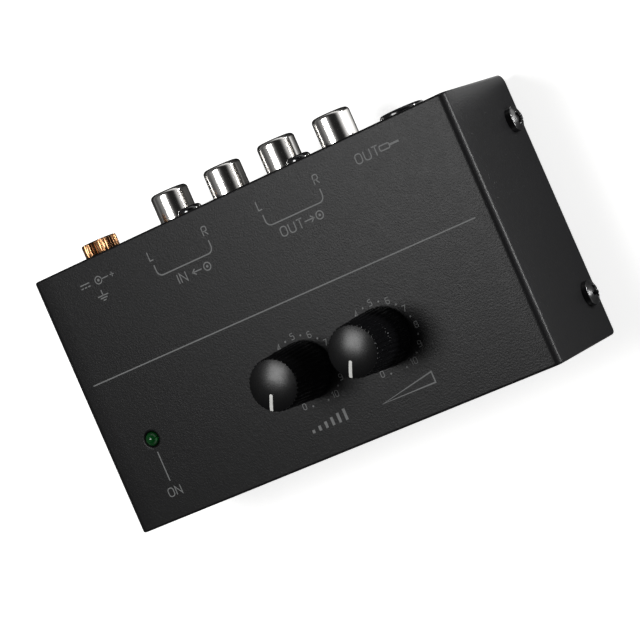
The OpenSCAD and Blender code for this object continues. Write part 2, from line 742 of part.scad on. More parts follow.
module pot_wipers(x) color("#e6e2d2") at_dial(x) rotate([0, 0, turn_deg / 2])
    for (row = [0, 1]) translate([0, 0, chamber_z(row) + track_t + wiper_lift]) {
        tube(wiper_d, journal_d + 2 * seat_gap, wiper_t);
        for (side = [-1, 1]) translate([side * wiper_d / 3 - lead / 2, -lead, running_gap - wiper_lift])
            cube([lead, 2 * lead, wiper_lift]);
        if (row == 1) difference() {
            intersection() {
                cylinder(r = lug_reach, h = wiper_t);
                translate([-stop_w / 2, wiper_d / 2 - lead, 0]) cube([stop_w, chamber_d, wiper_t]);
            }
            cylinder(d = wiper_d - lead, h = 3 * wiper_t, center = true);
        }
    }

module pot_tracks(x) color("#8a5a2c") at_dial(x)
    for (row = [0, 1]) translate([0, 0, chamber_z(row)])
        tube(track_d, journal_d + 2 * track_gap, track_t);

module pot_pins(x) color("#d8d8d8") in_frame() for (row = [0, 1], i = [-1:1]) {
    p = pot_pin(x, row, i);
    post(p, lead, lead, lead_z, chamber_z(row) + lead);
    translate([p.x - lead / 2, p.y, chamber_z(row)])
        cube([lead, dial_y + pin_end(i) - p.y, lead]);
}

module level_pot_body() pot_body(level_x);
module level_pot_bush() pot_bush(level_x);
module level_pot_shaft() pot_shaft(level_x);
module level_pot_wipers() pot_wipers(level_x);
module level_pot_tracks() pot_tracks(level_x);
module level_pot_pins() pot_pins(level_x);
module volume_pot_body() pot_body(volume_x);
module volume_pot_bush() pot_bush(volume_x);
module volume_pot_shaft() pot_shaft(volume_x);
module volume_pot_wipers() pot_wipers(volume_x);
module volume_pot_tracks() pot_tracks(volume_x);
module volume_pot_pins() pot_pins(volume_x);

// Lamp

led_z = top_z + led_reach - led_h;

module power_led() color("#0f7a46") in_frame() translate([led_x, led_y, led_z]) {
    cylinder(d = led_flange_d, h = led_flange_h);
    cylinder(d = led_d, h = led_h - led_d / 2);
    translate([0, 0, led_h - led_d / 2]) sphere(d = led_d);
}

module led_leads() color("#d0d0d0") in_frame() for (i = [-0.5, 0.5])
    post([led_x + i * led_pitch, led_y], lead, lead, lead_z, led_z);

module led_spacer() color("#e9e7e0") in_frame() difference() {
    translate([led_x, led_y, deck_z]) cylinder(d = led_spacer_d, h = led_z - deck_z);
    for (i = [-0.5, 0.5]) post([led_x + i * led_pitch, led_y], lead + 2 * lead_gap,
        lead + 2 * lead_gap, deck_z - cut, led_z + cut);
}

// Phono sockets

barrel_l = barrel_reach + barrel_seat;
barrel_bore_d = barrel_root_d - 2 * barrel_wall;

module jack_block(x) color("#1c1c1d") in_frame() difference() {
    union() {
        post([x, wall_in - block_l / 2], block_w, block_l, deck_z, deck_z + block_h);
        post([x, wall_in - block_l / 2], tower_w, block_l, deck_z, jack_z + tower_h - phono_axis_h);
        for (side = [left_x, right_x]) along_y(x + side, wall_in - cut, jack_z)
            cylinder(d = collar_d, h = sheet + cut);
    }
    for (side = [left_x, right_x]) {
        along_y(x + side, wall_y - barrel_seat, jack_z)
            cylinder(d = barrel_root_d + 2 * seat_gap, h = barrel_seat + cut);
        along_y(x + side, wall_in - block_l - cut, jack_z)
            cylinder(d = contact_d + 2 * seat_gap, h = block_l);
        post([x + side, earth_tab_y()], solder_tab_w + 2 * seat_gap, solder_tab_t + 2 * seat_gap,
            deck_z - cut, jack_z);
    }
    along_y(x, wall_y - block_screw_l - cut, jack_z + block_screw_h)
        cylinder(d = block_screw_d + 2 * thread_gap, h = block_screw_l + 2 * cut);
}

module jack_screws() color("#151515") in_frame() for (x = [input_x, output_x])
    along_y(x, wall_y, jack_z + block_screw_h)
        pan_screw(block_screw_d, block_screw_l, block_screw_head_d, block_screw_head_h);

module barrel(x) color("#c9ccce") in_frame() along_y(x, wall_y - barrel_seat, jack_z)
    rotate_extrude() difference() {
        union() {
            square([barrel_root_d / 2, barrel_seat + cut]);
            translate([0, barrel_seat]) round_end_2d(barrel_d / 2, barrel_reach, barrel_edge);
        }
        translate([-cut, -cut]) square([barrel_bore_d / 2 + cut, barrel_l - barrel_lip + cut]);
        translate([-cut, -cut]) square([barrel_mouth_d / 2 + cut, barrel_l + 2 * cut]);
    }

module insulator(x, shade) color(shade) in_frame() along_y(x, wall_y - barrel_seat, jack_z)
    difference() {
        cylinder(d = barrel_bore_d - 2 * seat_gap, h = barrel_l - barrel_lip);
        translate([0, 0, -cut])
            cylinder(d = contact_d + 2 * seat_gap, h = barrel_l - contact_inset + cut);
        cylinder(d = contact_hole_d + 2 * pass_gap, h = barrel_l);
    }

module contact(x) color("#d4b25a") in_frame() difference() {
    along_y(x, wall_in - block_l, jack_z)
        cylinder(d = contact_d, h = mouth_y - contact_inset - wall_in + block_l);
    along_y(x, mouth_y - contact_inset - contact_depth, jack_z)
        cylinder(d = contact_hole_d, h = contact_depth + cut);
}

module phono_terminals() color("#d6d6d6") in_frame()
    for (pair = [input_x, output_x], side = [left_x, right_x]) {
        post([pair + side, signal_tab_y()], solder_tab_w, solder_tab_t, lead_z,
            jack_z + contact_d / 2);
        post([pair + side, earth_tab_y()], solder_tab_w, solder_tab_t, lead_z,
            jack_z - barrel_root_d / 2);
    }

module input_jack_block() jack_block(input_x);
module output_jack_block() jack_block(output_x);
module input_left_barrel() barrel(input_x + left_x);
module input_right_barrel() barrel(input_x + right_x);
module output_left_barrel() barrel(output_x + left_x);
module output_right_barrel() barrel(output_x + right_x);
module input_left_insulator() insulator(input_x + left_x, "#e8e8e4");
module input_right_insulator() insulator(input_x + right_x, "#b3211d");
module output_left_insulator() insulator(output_x + left_x, "#e8e8e4");
module output_right_insulator() insulator(output_x + right_x, "#b3211d");
module input_left_contact() contact(input_x + left_x);
module input_right_contact() contact(input_x + right_x);
module output_left_contact() contact(output_x + left_x);
module output_right_contact() contact(output_x + right_x);

// Phone jack

channel_end = wall_in - phone_l + phone_wall;

module phone_jack_body() color("#18181a") in_frame() difference() {
    union() {
        post([phone_x, wall_in - phone_l / 2], phone_w, phone_l, deck_z, deck_z + phone_h);
        along_y(phone_x, wall_in - cut, jack_z)
            rotate_extrude() round_end_2d(nose_d / 2, nose_y - wall_in + cut, nose_edge);
    }
    along_y(phone_x, nose_y - sleeve_l - nose_rim, jack_z)
        cylinder(d = sleeve_d + 2 * seat_gap, h = sleeve_l + nose_rim + cut);
    along_y(phone_x, channel_end, jack_z) cylinder(d = channel_d, h = phone_l);
    for (side = [-1, 1]) {
        phone_spring(side, seat_gap, deck_z - cut);
        bump_room(side, seat_gap);
    }
    post([phone_x, sleeve_tab_y()], solder_tab_w + 2 * seat_gap,
        solder_tab_t + 2 * seat_gap, deck_z - cut, jack_z);
}

module phone_sleeve_contact() color("#c6c8ca") in_frame() {
    along_y(phone_x, nose_y - sleeve_l - nose_rim, jack_z)
        tube(sleeve_d, plug_hole_d, sleeve_l);
    post([phone_x, sleeve_tab_y()], solder_tab_w, solder_tab_t, lead_z,
        jack_z - plug_hole_d / 2);
}

// A contact spring beside the channel, with its tail down to the board
module phone_spring(side, gap, low) {
    depth = side < 0 ? tip_depth : ring_depth;
    start = mouth(depth) - solder_tab_w;
    strip = [phone_x + side * spring_x(), start + spring_l / 2];
    tail = [phone_x + side * spring_x(), mouth(depth) + spring_l - solder_tab_w];
    post(strip, solder_tab_t + 2 * gap, spring_l + 2 * gap, jack_z - spring_w / 2 - gap,
        jack_z + spring_w / 2 + gap);
    post(tail, solder_tab_t + 2 * gap, solder_tab_w + 2 * gap, low, jack_z + spring_w / 2 + gap);
}

// The space beside the channel's axis that a spring's bump takes
module bump_room(side, gap) {
    depth = side < 0 ? tip_depth : ring_depth;
    post([phone_x + side * (channel_d / 2 - bump / 2), mouth(depth)], bump, 4 * bump + 2 * gap,
        jack_z - spring_w / 2 - gap, jack_z + spring_w / 2 + gap);
}

module phone_contact(side) color("#c9b06a") in_frame() {
    depth = side < 0 ? tip_depth : ring_depth;
    phone_spring(side, 0, lead_z);
    intersection() {
        translate([phone_x + side * (channel_d / 2 + bump * 0.2), mouth(depth), jack_z])
            cylinder(r = bump * 1.2, h = spring_w, center = true);
        bump_room(side, 0);
    }
}

module phone_tip_contact() phone_contact(-1);
module phone_ring_contact() phone_contact(1);

// Power inlet

inlet_back = wall_in - inlet_l;

module dc_inlet_body() color("#161617") in_frame() difference() {
    post([inlet_x, wall_in - inlet_l / 2], inlet_w, inlet_l, deck_z, deck_z + inlet_h);
    along_y(inlet_x, wall_in - inlet_depth, inlet_z)
        cylinder(d = inlet_hole_d, h = inlet_depth + cut);
    along_y(inlet_x, inlet_back - cut, inlet_z)
        cylinder(d = inlet_root_d + 2 * seat_gap, h = inlet_l);
    inlet_strip(seat_gap);
}

module dc_centre_pin() color("#cfd1d3") in_frame() {
    along_y(inlet_x, inlet_back - solder_tab_t, inlet_z)
        cylinder(d = inlet_root_d, h = inlet_l - inlet_pin_inset);
    along_y(inlet_x, wall_in - inlet_depth, inlet_z)
        cylinder(d = inlet_pin_d, h = inlet_depth - inlet_pin_inset);
    post([inlet_x, inlet_tab_y()], solder_tab_w, solder_tab_t, lead_z, inlet_z + inlet_root_d / 2);
}

// The strip that lies beside the inlet's hole
module inlet_strip(gap) translate([inlet_x + inlet_hole_d / 2 - gap, inlet_back - cut,
    inlet_z - solder_tab_w / 2 - gap]) cube([solder_tab_t + 2 * gap, inlet_l - cut,
        solder_tab_w + 2 * gap]);

module dc_spring_contact() color("#cfd1d3") in_frame() {
    difference() {
        inlet_strip(0);
        post([inlet_x, inlet_back - cut], inlet_w, 2 * (cut - solder_tab_t), 0, top_z);
    }
    post([inlet_x + inlet_spring_x(), inlet_tab_y()], solder_tab_w, solder_tab_t, lead_z,
        inlet_z + solder_tab_w / 2);
}

// Ground terminal

head_y = wall_y + ground_washer_t;
neck_gap = 2 * running_gap;

module ground_screw() color("#c79a45") in_frame() along_y(ground_x, head_y, ground_z) {
    translate([0, 0, -ground_screw_l]) cylinder(d = ground_screw_d, h = ground_screw_l);
    difference() {
        cylinder(d = thumb_d, h = thumb_h);
        for (i = [0:thumb_grooves - 1]) rotate([0, 0, i * 360 / thumb_grooves])
            translate([thumb_d / 2 + thumb_groove_r - thumb_groove_depth, 0, -cut])
                cylinder(r = thumb_groove_r, h = thumb_h + 2 * cut, $fn = 24);
    }
}

module ground_washer() color("#cda65a") in_frame() along_y(ground_x, wall_y, ground_z)
    tube(ground_washer_d, ground_screw_d + neck_gap, ground_washer_t);

module ground_nut() color("#b88f40") in_frame()
    along_y(ground_x, wall_in - lug_t - ground_nut_t, ground_z) difference() {
        cylinder(d = ground_nut_w / cos(30), h = ground_nut_t, $fn = 6);
        translate([0, 0, -cut])
            cylinder(d = ground_screw_d + 2 * thread_gap, h = ground_nut_t + 2 * cut);
    }

module ground_lug() color("#cfd0c8") in_frame() difference() {
    eye_w = link_d + 2 * link_rim;
    union() {
        along_y(ground_x, wall_in - lug_t, ground_z) cylinder(d = lug_d, h = lug_t);
        translate([ground_x, wall_in - lug_t, ground_z - lug_arm_w / 2])
            cube([link_offset + eye_w / 2, lug_t, lug_arm_w]);
        translate([ground_x + link_offset - eye_w / 2, link_y() - eye_w / 2, ground_z - lug_t / 2])
            cube([eye_w, wall_in - link_y() + eye_w / 2, lug_t]);
    }
    along_y(ground_x, wall_in - lug_t - cut, ground_z)
        cylinder(d = ground_screw_d + 2 * pass_gap, h = lug_t + 2 * cut);
    translate([ground_x + link_offset, link_y(), ground_z - lug_t])
        cylinder(d = link_d + 2 * lead_gap, h = 2 * lug_t);
}

module ground_link() color("#c7c9c9") in_frame()
    translate([ground_x + link_offset, link_y(), lead_z])
        cylinder(d = link_d, h = ground_z + lug_t - lead_z);

// Small parts on the board

module op_amps() color("#1d1e20") in_frame() for (p = chip_points) {
    post(p, chip_l, chip_w, deck_z + stub, deck_z + chip_h);
    for (i = [-1.5:1.5], side = [-1, 1]) {
        leg = p + [i * chip_pitch, side * chip_rows / 2];
        post(leg, lead, lead, lead_z, deck_z + chip_h / 2);
        post([leg.x, p.y + side * (chip_rows + lead) / 4], lead, (chip_rows + lead) / 2,
            deck_z + chip_h / 2 - lead / 2, deck_z + chip_h / 2);
    }
}

module voltage_regulator() color("#1b1b1d") in_frame() {
    low = deck_z + regulator_lift;
    difference() {
        translate([regulator_point.x, regulator_point.y, low])
            cylinder(d = regulator_w, h = regulator_w);
        post(regulator_point - [0, regulator_w / 2 + lead], regulator_w + cut, regulator_w,
            low - cut, top_z);
    }
    for (i = [-1:1]) post(regulator_point + [i * led_pitch / 2, 0], lead, lead, lead_z, low + lead);
}

module electrolytic_capacitors() color("#1c2b4a") in_frame() for (p = cap_points) {
    translate([p.x, p.y, deck_z]) cylinder(d = cap_d, h = cap_h);
    for (i = [-0.5, 0.5]) post(p + [i * cap_pitch, 0], lead, lead, lead_z, deck_z + stub);
}

module film_capacitors() color("#a8332b") in_frame() for (p = film_points) {
    post(p, film_l, film_w, deck_z, deck_z + film_h);
    for (i = [-0.5, 0.5]) post(p + [i * film_pitch, 0], lead, lead, lead_z, deck_z + stub);
}

// A small body lying along x between two leads that turn down into the board
module axial(p, body_l, body_d) {
    height = deck_z + body_d / 2 + axial_lift;
    translate([p.x - body_l / 2, p.y, height]) rotate([0, 90, 0]) cylinder(d = body_d, h = body_l);
    translate([p.x - res_pitch / 2, p.y, height]) rotate([0, 90, 0])
        cylinder(d = lead, h = res_pitch);
    for (i = [-0.5, 0.5]) translate([p.x + i * res_pitch, p.y, lead_z]) {
        cylinder(d = lead, h = height - lead_z);
        translate([0, 0, height - lead_z]) sphere(d = lead);
    }
}

module resistors() color("#6d93b8") in_frame() for (p = res_points) axial(p, res_l, res_d);

module protection_diode() color("#202022") in_frame() axial(diode_point, diode_l, res_d);

top_cover();
base_tray();
cover_screws();
rubber_feet();
main_board();
board_standoffs();
board_screws();
level_knob();
level_pointer();
volume_knob();
volume_pointer();
level_pot_body();
level_pot_bush();
level_pot_shaft();
level_pot_wipers();
level_pot_tracks();
level_pot_pins();
volume_pot_body();
volume_pot_bush();
volume_pot_shaft();
volume_pot_wipers();
volume_pot_tracks();
volume_pot_pins();
power_led();
led_leads();
led_spacer();
input_jack_block();
output_jack_block();
jack_screws();
phono_terminals();
input_left_barrel();
input_right_barrel();
output_left_barrel();
output_right_barrel();
input_left_insulator();
input_right_insulator();
output_left_insulator();
output_right_insulator();
input_left_contact();
input_right_contact();
output_left_contact();
output_right_contact();
phone_jack_body();
phone_sleeve_contact();
phone_ring_contact();
phone_tip_contact();
dc_inlet_body();
dc_centre_pin();
dc_spring_contact();
ground_screw();
ground_washer();
ground_nut();
ground_lug();
ground_link();
op_amps();
voltage_regulator();
electrolytic_capacitors();
film_capacitors();
resistors();
protection_diode();
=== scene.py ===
import json
import math
import bmesh
import bpy
import numpy as np
from mathutils import Matrix, Vector

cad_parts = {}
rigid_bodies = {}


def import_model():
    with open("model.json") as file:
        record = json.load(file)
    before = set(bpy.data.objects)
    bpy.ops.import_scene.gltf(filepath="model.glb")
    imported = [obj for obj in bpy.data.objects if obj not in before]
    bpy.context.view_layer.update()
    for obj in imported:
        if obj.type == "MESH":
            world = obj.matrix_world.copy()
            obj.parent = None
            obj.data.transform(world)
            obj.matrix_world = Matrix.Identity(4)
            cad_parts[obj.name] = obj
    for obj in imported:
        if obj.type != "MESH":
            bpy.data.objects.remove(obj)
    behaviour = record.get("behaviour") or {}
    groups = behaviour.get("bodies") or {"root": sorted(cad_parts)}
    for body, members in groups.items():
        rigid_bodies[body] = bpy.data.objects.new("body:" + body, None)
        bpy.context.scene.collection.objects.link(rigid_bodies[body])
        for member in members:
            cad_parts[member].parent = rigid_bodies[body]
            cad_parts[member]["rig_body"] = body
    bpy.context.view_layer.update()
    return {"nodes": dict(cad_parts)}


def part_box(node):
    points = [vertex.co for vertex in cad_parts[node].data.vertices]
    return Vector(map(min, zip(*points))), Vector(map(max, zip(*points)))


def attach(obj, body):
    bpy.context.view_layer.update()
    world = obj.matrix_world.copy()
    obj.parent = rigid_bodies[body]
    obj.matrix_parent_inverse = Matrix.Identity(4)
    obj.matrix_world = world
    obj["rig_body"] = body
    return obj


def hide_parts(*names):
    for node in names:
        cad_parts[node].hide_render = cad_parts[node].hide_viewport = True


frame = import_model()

nodes = frame["nodes"]
mm = 0.001
print("frame loaded:", len(nodes), "nodes")


# sizes read from the frame

def nodeBox(name):
    # lowest and highest corner of a CAD node, in mm
    low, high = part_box(name)
    return np.round(np.array(low) / mm, 3), np.round(np.array(high) / mm, 3)


def middleOf(name):
    # the middle of a CAD node, in mm
    low, high = nodeBox(name)
    return (low + high) / 2


coverLow, coverHigh = nodeBox("top_cover")
trayHigh = nodeBox("base_tray")[1]
topZ = coverHigh[2]
middleY = (coverLow[1] + coverHigh[1]) / 2
backWallY = trayHigh[1]
sheet = 1.0  # thickness of the folded steel


# meshes and pieces

def addObject(name, data):
    # an object of the scene at the origin
    made = bpy.data.objects.new(name, data)
    bpy.context.scene.collection.objects.link(made)
    return made


def dressMesh(name, mesh, material, body, sharp=32):
    # a smooth mesh with edges sharp from that angle in degrees, in one material, on a body
    mesh.shade_smooth()
    mesh.set_sharp_from_angle(angle=math.radians(sharp))
    mesh.materials.append(material)
    piece = addObject(name, mesh)
    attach(piece, body)
    return piece


def addMesh(name, points, faces, material, body="case", sharp=32):
    # points in mm, faces as lists of corner numbers; the piece's place is in its mesh
    mesh = bpy.data.meshes.new(name)
    mesh.from_pydata((np.asarray(points) * mm).tolist(), [], faces)
    mesh.validate()
    return dressMesh(name, mesh, material, body, sharp)


def standFor(piece, node):
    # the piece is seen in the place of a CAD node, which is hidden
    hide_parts(node)
    return piece


def markPoints(piece, name, values):
    # a value for each point of a piece, which a material can read by its name
    layer = piece.data.attributes.new(name, "FLOAT", "POINT")
    layer.data.foreach_set("value", values.astype(np.float32))


def gridFaces(rows, columns):
    # quads between neighbouring rows of a grid of points, whose last column joins the first
    i = np.arange(rows - 1)[:, None] * columns
    j = np.arange(columns)[None, :]
    k = (j + 1) % columns
    corners = [i + j, i + k, i + columns + k, i + columns + j]
    return np.stack(corners, -1).reshape(-1, 4).tolist()


def onceRound(steps):
    # the angles of a turned surface, as one row
    return np.linspace(0, 2 * math.pi, steps, endpoint=False)[None, :]


def turnedSurface(radius, height, angles):
    # surface of revolution: x = r cos a, y = r sin a, z = h, with r and h given for each row and angle
    r, h, a = np.broadcast_arrays(radius, height, angles)
    return np.stack([r * np.cos(a), r * np.sin(a), h], -1)


def turnedRows(rows, angles):
    # a turned surface from pairs of radius and height, each of them a number, a column or a whole grid
    return np.concatenate([turnedSurface(radius, height, angles) for radius, height in rows])


def closeTurned(surface):
    # joins the rows of a turned surface with quads; a first or last row of no radius becomes one point,
    # and where there is neither, the last row joins the first
    rows, columns = surface.shape[:2]
    reach = np.hypot(surface[..., 0], surface[..., 1]).max(1)
    first = 1 if reach[0] < 1e-6 else 0
    last = rows - 1 if reach[-1] < 1e-6 else rows
    points = surface[first:last].reshape(-1, 3)
    faces = gridFaces(last - first, columns)
    around = np.arange(columns)
    following = (around + 1) % columns
    base = (last - first - 1) * columns
    if first:
        tip = np.full(columns, len(points))
        points = np.vstack([points, surface[0, :1]])
        faces += np.stack([tip, following, around], -1).tolist()
    if last < rows:
        tip = np.full(columns, len(points))
        points = np.vstack([points, surface[-1, :1]])
        faces += np.stack([base + around, base + following, tip], -1).tolist()
    if not first and last == rows:
        faces += np.stack([base + around, base + following, following, around], -1).tolist()
    return points, faces


def profile(*parts):
    # one outline out of single points [r, h] and arrays of points
    return np.vstack([np.atleast_2d(np.asarray(part, float)) for part in parts])


def arc(centre, r, start, end, steps):
    # part of a circle in the profile plane: centre + r (cos t, sin t), t from start to end in degrees
    t = np.radians(np.linspace(start, end, steps))
    return np.stack([centre[0] + r * np.cos(t), centre[1] + r * np.sin(t)], -1)


def layAlong(points, origin, way):
    # turns points made along +Z to point along way ("+y", "+x", "-x" or "+z") and moves them to origin
    x, y, z = np.asarray(points).T
    turned = {"+z": (x, y, z), "+y": (x, z, -y), "+x": (z, y, -x), "-x": (-z, y, x)}[way]
    return np.stack(turned, -1) + np.asarray(origin)


def spun(points, angle):
    # turned round +Z: x cos a - y sin a, x sin a + y cos a
    x, y, z = points.T
    c, s = math.cos(angle), math.sin(angle)
    return np.stack([x * c - y * s, x * s + y * c, z], -1)


def mitres(line, closed):
    # at each point of a line in the plane the normal of the side ahead, and the normal of both sides'
    # sum, which halves the corner; an open line's ends have one side
    ahead = np.roll(line, -1, 0) - line
    if not closed:
        ahead[-1] = ahead[-2]
    ahead /= np.linalg.norm(ahead, axis=1)[:, None]
    behind = np.roll(ahead, 1, 0)
    if not closed:
        behind[0] = ahead[0]
    both = ahead + behind
    both /= np.linalg.norm(both, axis=1)[:, None]
    return [np.stack([-way[:, 1], way[:, 0]], -1) for way in (ahead, both)]


def lathe(outline, steps):
    # the outline of (radius, height) carried once round +Z: x = r cos a, y = r sin a, z = h
    return closeTurned(turnedSurface(outline[:, :1], outline[:, 1:], onceRound(steps)))


def turnedPiece(name, outline, origin, way, material, steps, body="case", sharp=32):
    # a lathed piece whose axis points along way and whose foot is at origin
    points, faces = lathe(outline, steps)
    return addMesh(name, layAlong(points, origin, way), faces, material, body, sharp)


def joinParts(parts):
    # stacks several (points, faces) into one
    points, faces, count = [], [], 0
    for p, f in parts:
        points.append(np.asarray(p))
        faces += [[c + count for c in face] for face in f]
        count += len(p)
    return np.vstack(points), faces


def roundEdges(piece, width):
    # a Bevel modifier whose live level is also the render level
    bevel = piece.modifiers.new("round_edges", "BEVEL")
    bevel.width = width * mm
    bevel.segments = 2
    bevel.limit_method = "ANGLE"
    bevel.angle_limit = math.radians(40)
    bevel.harden_normals = True
    return piece


def roundedCopy(node, name, width, material):
    # a merged copy of a CAD node with its sharp edges eased, which stands for the node
    source = nodes[node]
    mesh = source.data.copy()
    mesh.name = name
    work = bmesh.new()
    work.from_mesh(mesh)
    bmesh.ops.remove_doubles(work, verts=work.verts, dist=0.002 * mm)
    bmesh.ops.dissolve_limit(work, angle_limit=math.radians(1), verts=work.verts, edges=work.edges)
    work.to_mesh(mesh)
    work.free()
    mesh.materials.clear()
    piece = dressMesh(name, mesh, material, source["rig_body"])
    return roundEdges(standFor(piece, node), width)


# finishes

def colour(code):
    # a web colour such as "#2a2b2c" as linear red, green, blue and 1
    parts = np.array([int(code[i:i + 2], 16) for i in (1, 3, 5)]) / 255
    linear = np.where(parts <= 0.04045, parts / 12.92, ((parts + 0.055) / 1.055) ** 2.4)
    return (*linear.tolist(), 1.0)


def feed(tree, node, inputs):
    # gives each input of a node a value, a colour code or the socket that it is linked to
    for key, value in inputs.items():
        if isinstance(value, bpy.types.NodeSocket):
            tree.links.new(value, node.inputs[key])
        else:
            node.inputs[key].default_value = colour(value) if isinstance(value, str) else value


def addNode(tree, kind, inputs, **settings):
    # a node of a material, with its settings and its inputs
    node = tree.nodes.new(kind)
    for key, value in settings.items():
        setattr(node, key, value)
    feed(tree, node, inputs)
    return node


def noiseAt(tree, place, size, detail, rough=0.55):
    # noise whose features are about size mm across
    inputs = {"Vector": place, "Scale": 1 / (size * mm), "Detail": detail, "Roughness": rough}
    return addNode(tree, "ShaderNodeTexNoise", inputs).outputs["Fac"]


def spread(tree, value, low, high, start=0.3, end=0.7, step="LINEAR"):
    # maps start..end of a value to low..high
    inputs = {0: value, 1: start, 2: end, 3: low, 4: high}
    return addNode(tree, "ShaderNodeMapRange", inputs, interpolation_type=step).outputs[0]


def smoothStep(tree, value, places, low, high):
    # goes from low to high between two places of a value, level at both
    return spread(tree, value, low, high, *places, "SMOOTHSTEP")


def blendColour(tree, factor, first, second):
    # first where the factor is 0, second where it is 1; each a colour code or a socket
    inputs = {0: factor, 6: first, 7: second}
    return addNode(tree, "ShaderNodeMix", inputs, data_type="RGBA").outputs[2]


def newMaterial(name):
    # a material with its node tree and its shader
    material = bpy.data.materials.new(name)
    material.use_nodes = True
    return material, material.node_tree, material.node_tree.nodes["Principled BSDF"]


def finish(name, colours, sizes, rough, relief=0.02, **look):
    # two tones in slow patches, a fine grain in colour and relief, and marks of handling in colour and
    # roughness. colours: the two tones, the grain's flecks and the wear (or else the second tone);
    # sizes: of patches, grain and marks in mm; rough: least and most; relief: depth of the grain in mm
    material, tree, shader = newMaterial(name)
    codes = colours.split()
    first, second, flecks, wear = [*codes, codes[1]][:4]
    place = addNode(tree, "ShaderNodeTexCoord", {}).outputs["Object"]
    patches = noiseAt(tree, place, sizes[0], 4)
    grain = noiseAt(tree, place, sizes[1], 3, 0.6)
    marks = noiseAt(tree, place, sizes[2], 6, 0.7)
    tone = blendColour(tree, spread(tree, patches, 0, 1), first, second)
    fleck = blendColour(tree, spread(tree, grain, 0, look.get("fleckShare", 0.35)), tone, flecks)
    worn = blendColour(tree, spread(tree, marks, 0, look.get("wearShare", 0.12), 0.6, 0.8), fleck, wear)
    bump = addNode(tree, "ShaderNodeBump", {"Strength": look.get("bump", 0.4), "Distance": relief * mm,
                                            "Height": grain})
    feed(tree, shader, {
        "Base Color": worn,
        "Roughness": spread(tree, marks, *rough, 0.25, 0.75),
        "Normal": bump.outputs["Normal"],
        "Metallic": look.get("metal", 0.0),
        "Specular IOR Level": look.get("specular", 0.5),
        "Specular Tint": (*[look.get("rimTint", 1.0)] * 3, 1.0),
        "Coat Weight": look.get("coat", 0.0),
        "Coat Roughness": look.get("coatRough", 0.05),
    })
    return material


powderCoat = finish("powder_coat", "#0c0c0d #0e0e0f #141415 #1c1c1d", (30, 0.36, 3), (0.27, 0.33), 0.06,
                    fleckShare=0.5, wearShare=0.1, bump=0.75, specular=0.1, coat=0.16, coatRough=0.6)
trayCoat = finish("tray_coat", "#181819 #1b1b1c #232324 #2b2b2c", (20, 0.35, 4), (0.34, 0.42),
                  specular=0.15)
knobPlastic = finish("knob_plastic", "#070708 #09090a #0d0d0e", (4, 0.18, 1.5), (0.24, 0.3), 0.008,
                     bump=0.3, specular=0.24)
pointerPaint = finish("pointer_paint", "#d6d6d3 #cdcdc9 #e0e0dd", (1, 0.1, 0.6), (0.4, 0.55), 0.01)
blackScrew = finish("black_screw_steel", "#0b0b0c #0f0f10 #151516 #222223", (1.2, 0.12, 0.8), (0.1, 0.17),
                    0.004, wearShare=0.3, bump=0.2, specular=1.0)
brightNickel = finish("bright_nickel", "#e4e2df #dddbd8 #ecebe8 #cfccc7", (3, 0.15, 1.2), (0.15, 0.19),
                      0.002, bump=0.03, metal=1.0, rimTint=0.1)
dullNickel = finish("dull_nickel", "#b9bbbd #a9abae #c9cbcd #8e9092", (3, 0.15, 1.5), (0.22, 0.36), 0.006,
                    metal=1.0)
tinPlate = finish("tin_plate", "#c9cacb #b4b6b8 #d8d9da #96989a", (2, 0.2, 1), (0.28, 0.45), 0.008,
                  metal=1.0)
brass = finish("lacquered_brass", "#b58862 #aa7e5a #be926d #8a6242", (2, 0.5, 1.5), (0.15, 0.2), 0.002,
               bump=0.04, metal=1.0)
goldPlate = finish("gold_plate", "#dcb25c #cfa24c #e8c477 #b58a3e", (1.5, 0.12, 0.8), (0.16, 0.28), 0.004,
                   metal=1.0)
whitePlastic = finish("white_plastic", "#e4e3de #dad9d3 #efeeea #c9c7c0", (3, 0.25, 1.4), (0.3, 0.42),
                      0.006)
redPlastic = finish("red_plastic", "#b3211d #a51c19 #c22a25 #8d1715", (3, 0.25, 1.4), (0.3, 0.42), 0.006)
blackMoulding = finish("black_moulding", "#161617 #1b1b1c #222223 #2c2c2d", (5, 0.3, 2), (0.34, 0.5),
                       0.012)
glossyNose = finish("glossy_nose", "#0e0e0f #131314 #19191a #262627", (4, 0.25, 2), (0.1, 0.18), 0.004,
                    bump=0.25)
footRubber = finish("foot_rubber", "#1a1a1a #202020 #282828 #3a3936", (4, 0.22, 1.6), (0.7, 0.86), 0.03,
                    wearShare=0.3, bump=0.6, specular=0.3)
printInk = finish("print_ink", "#6e6f6f #686969 #777878 #58595a", (3, 0.12, 0.8), (0.5, 0.62), 0.01,
                  wearShare=0.3, specular=0.3)
solderMask = finish("solder_mask", "#1d5a35 #174b2c #2a6c43 #b08a4c", (5, 0.4, 2.5), (0.22, 0.36), 0.012,
                    wearShare=0.2)
potHousing = finish("pot_housing", "#2a2d33 #23262b #353940 #44484f", (4, 0.3, 2), (0.4, 0.55), 0.012)
carbonTrack = finish("carbon_track", "#4a3526 #3a2a1e #5c4432", (1, 0.1, 0.6), (0.5, 0.7), 0.01)
wiperPlastic = finish("wiper_plastic", "#e6e2d2 #dcd7c5 #f0ecde", (2, 0.2, 1), (0.35, 0.5), 0.008)
chipPlastic = finish("chip_epoxy", "#1d1e20 #232427 #2c2d30 #3a3b3e", (2, 0.18, 1), (0.5, 0.66))
capSleeve = finish("capacitor_sleeve", "#1b2a4a #172440 #24355a #31466e", (3, 0.3, 1.5), (0.28, 0.4),
                   0.008)
filmCase = finish("film_capacitor_case", "#a8332b #992c25 #b9423a #7f241e", (2.5, 0.25, 1.2), (0.3, 0.44),
                  0.012)
resistorLacquer = finish("resistor_lacquer", "#6d93b8 #6086ab #7ea3c6 #4c6d8e", (1.2, 0.2, 0.9),
                         (0.3, 0.45), 0.012)
print("finishes made")


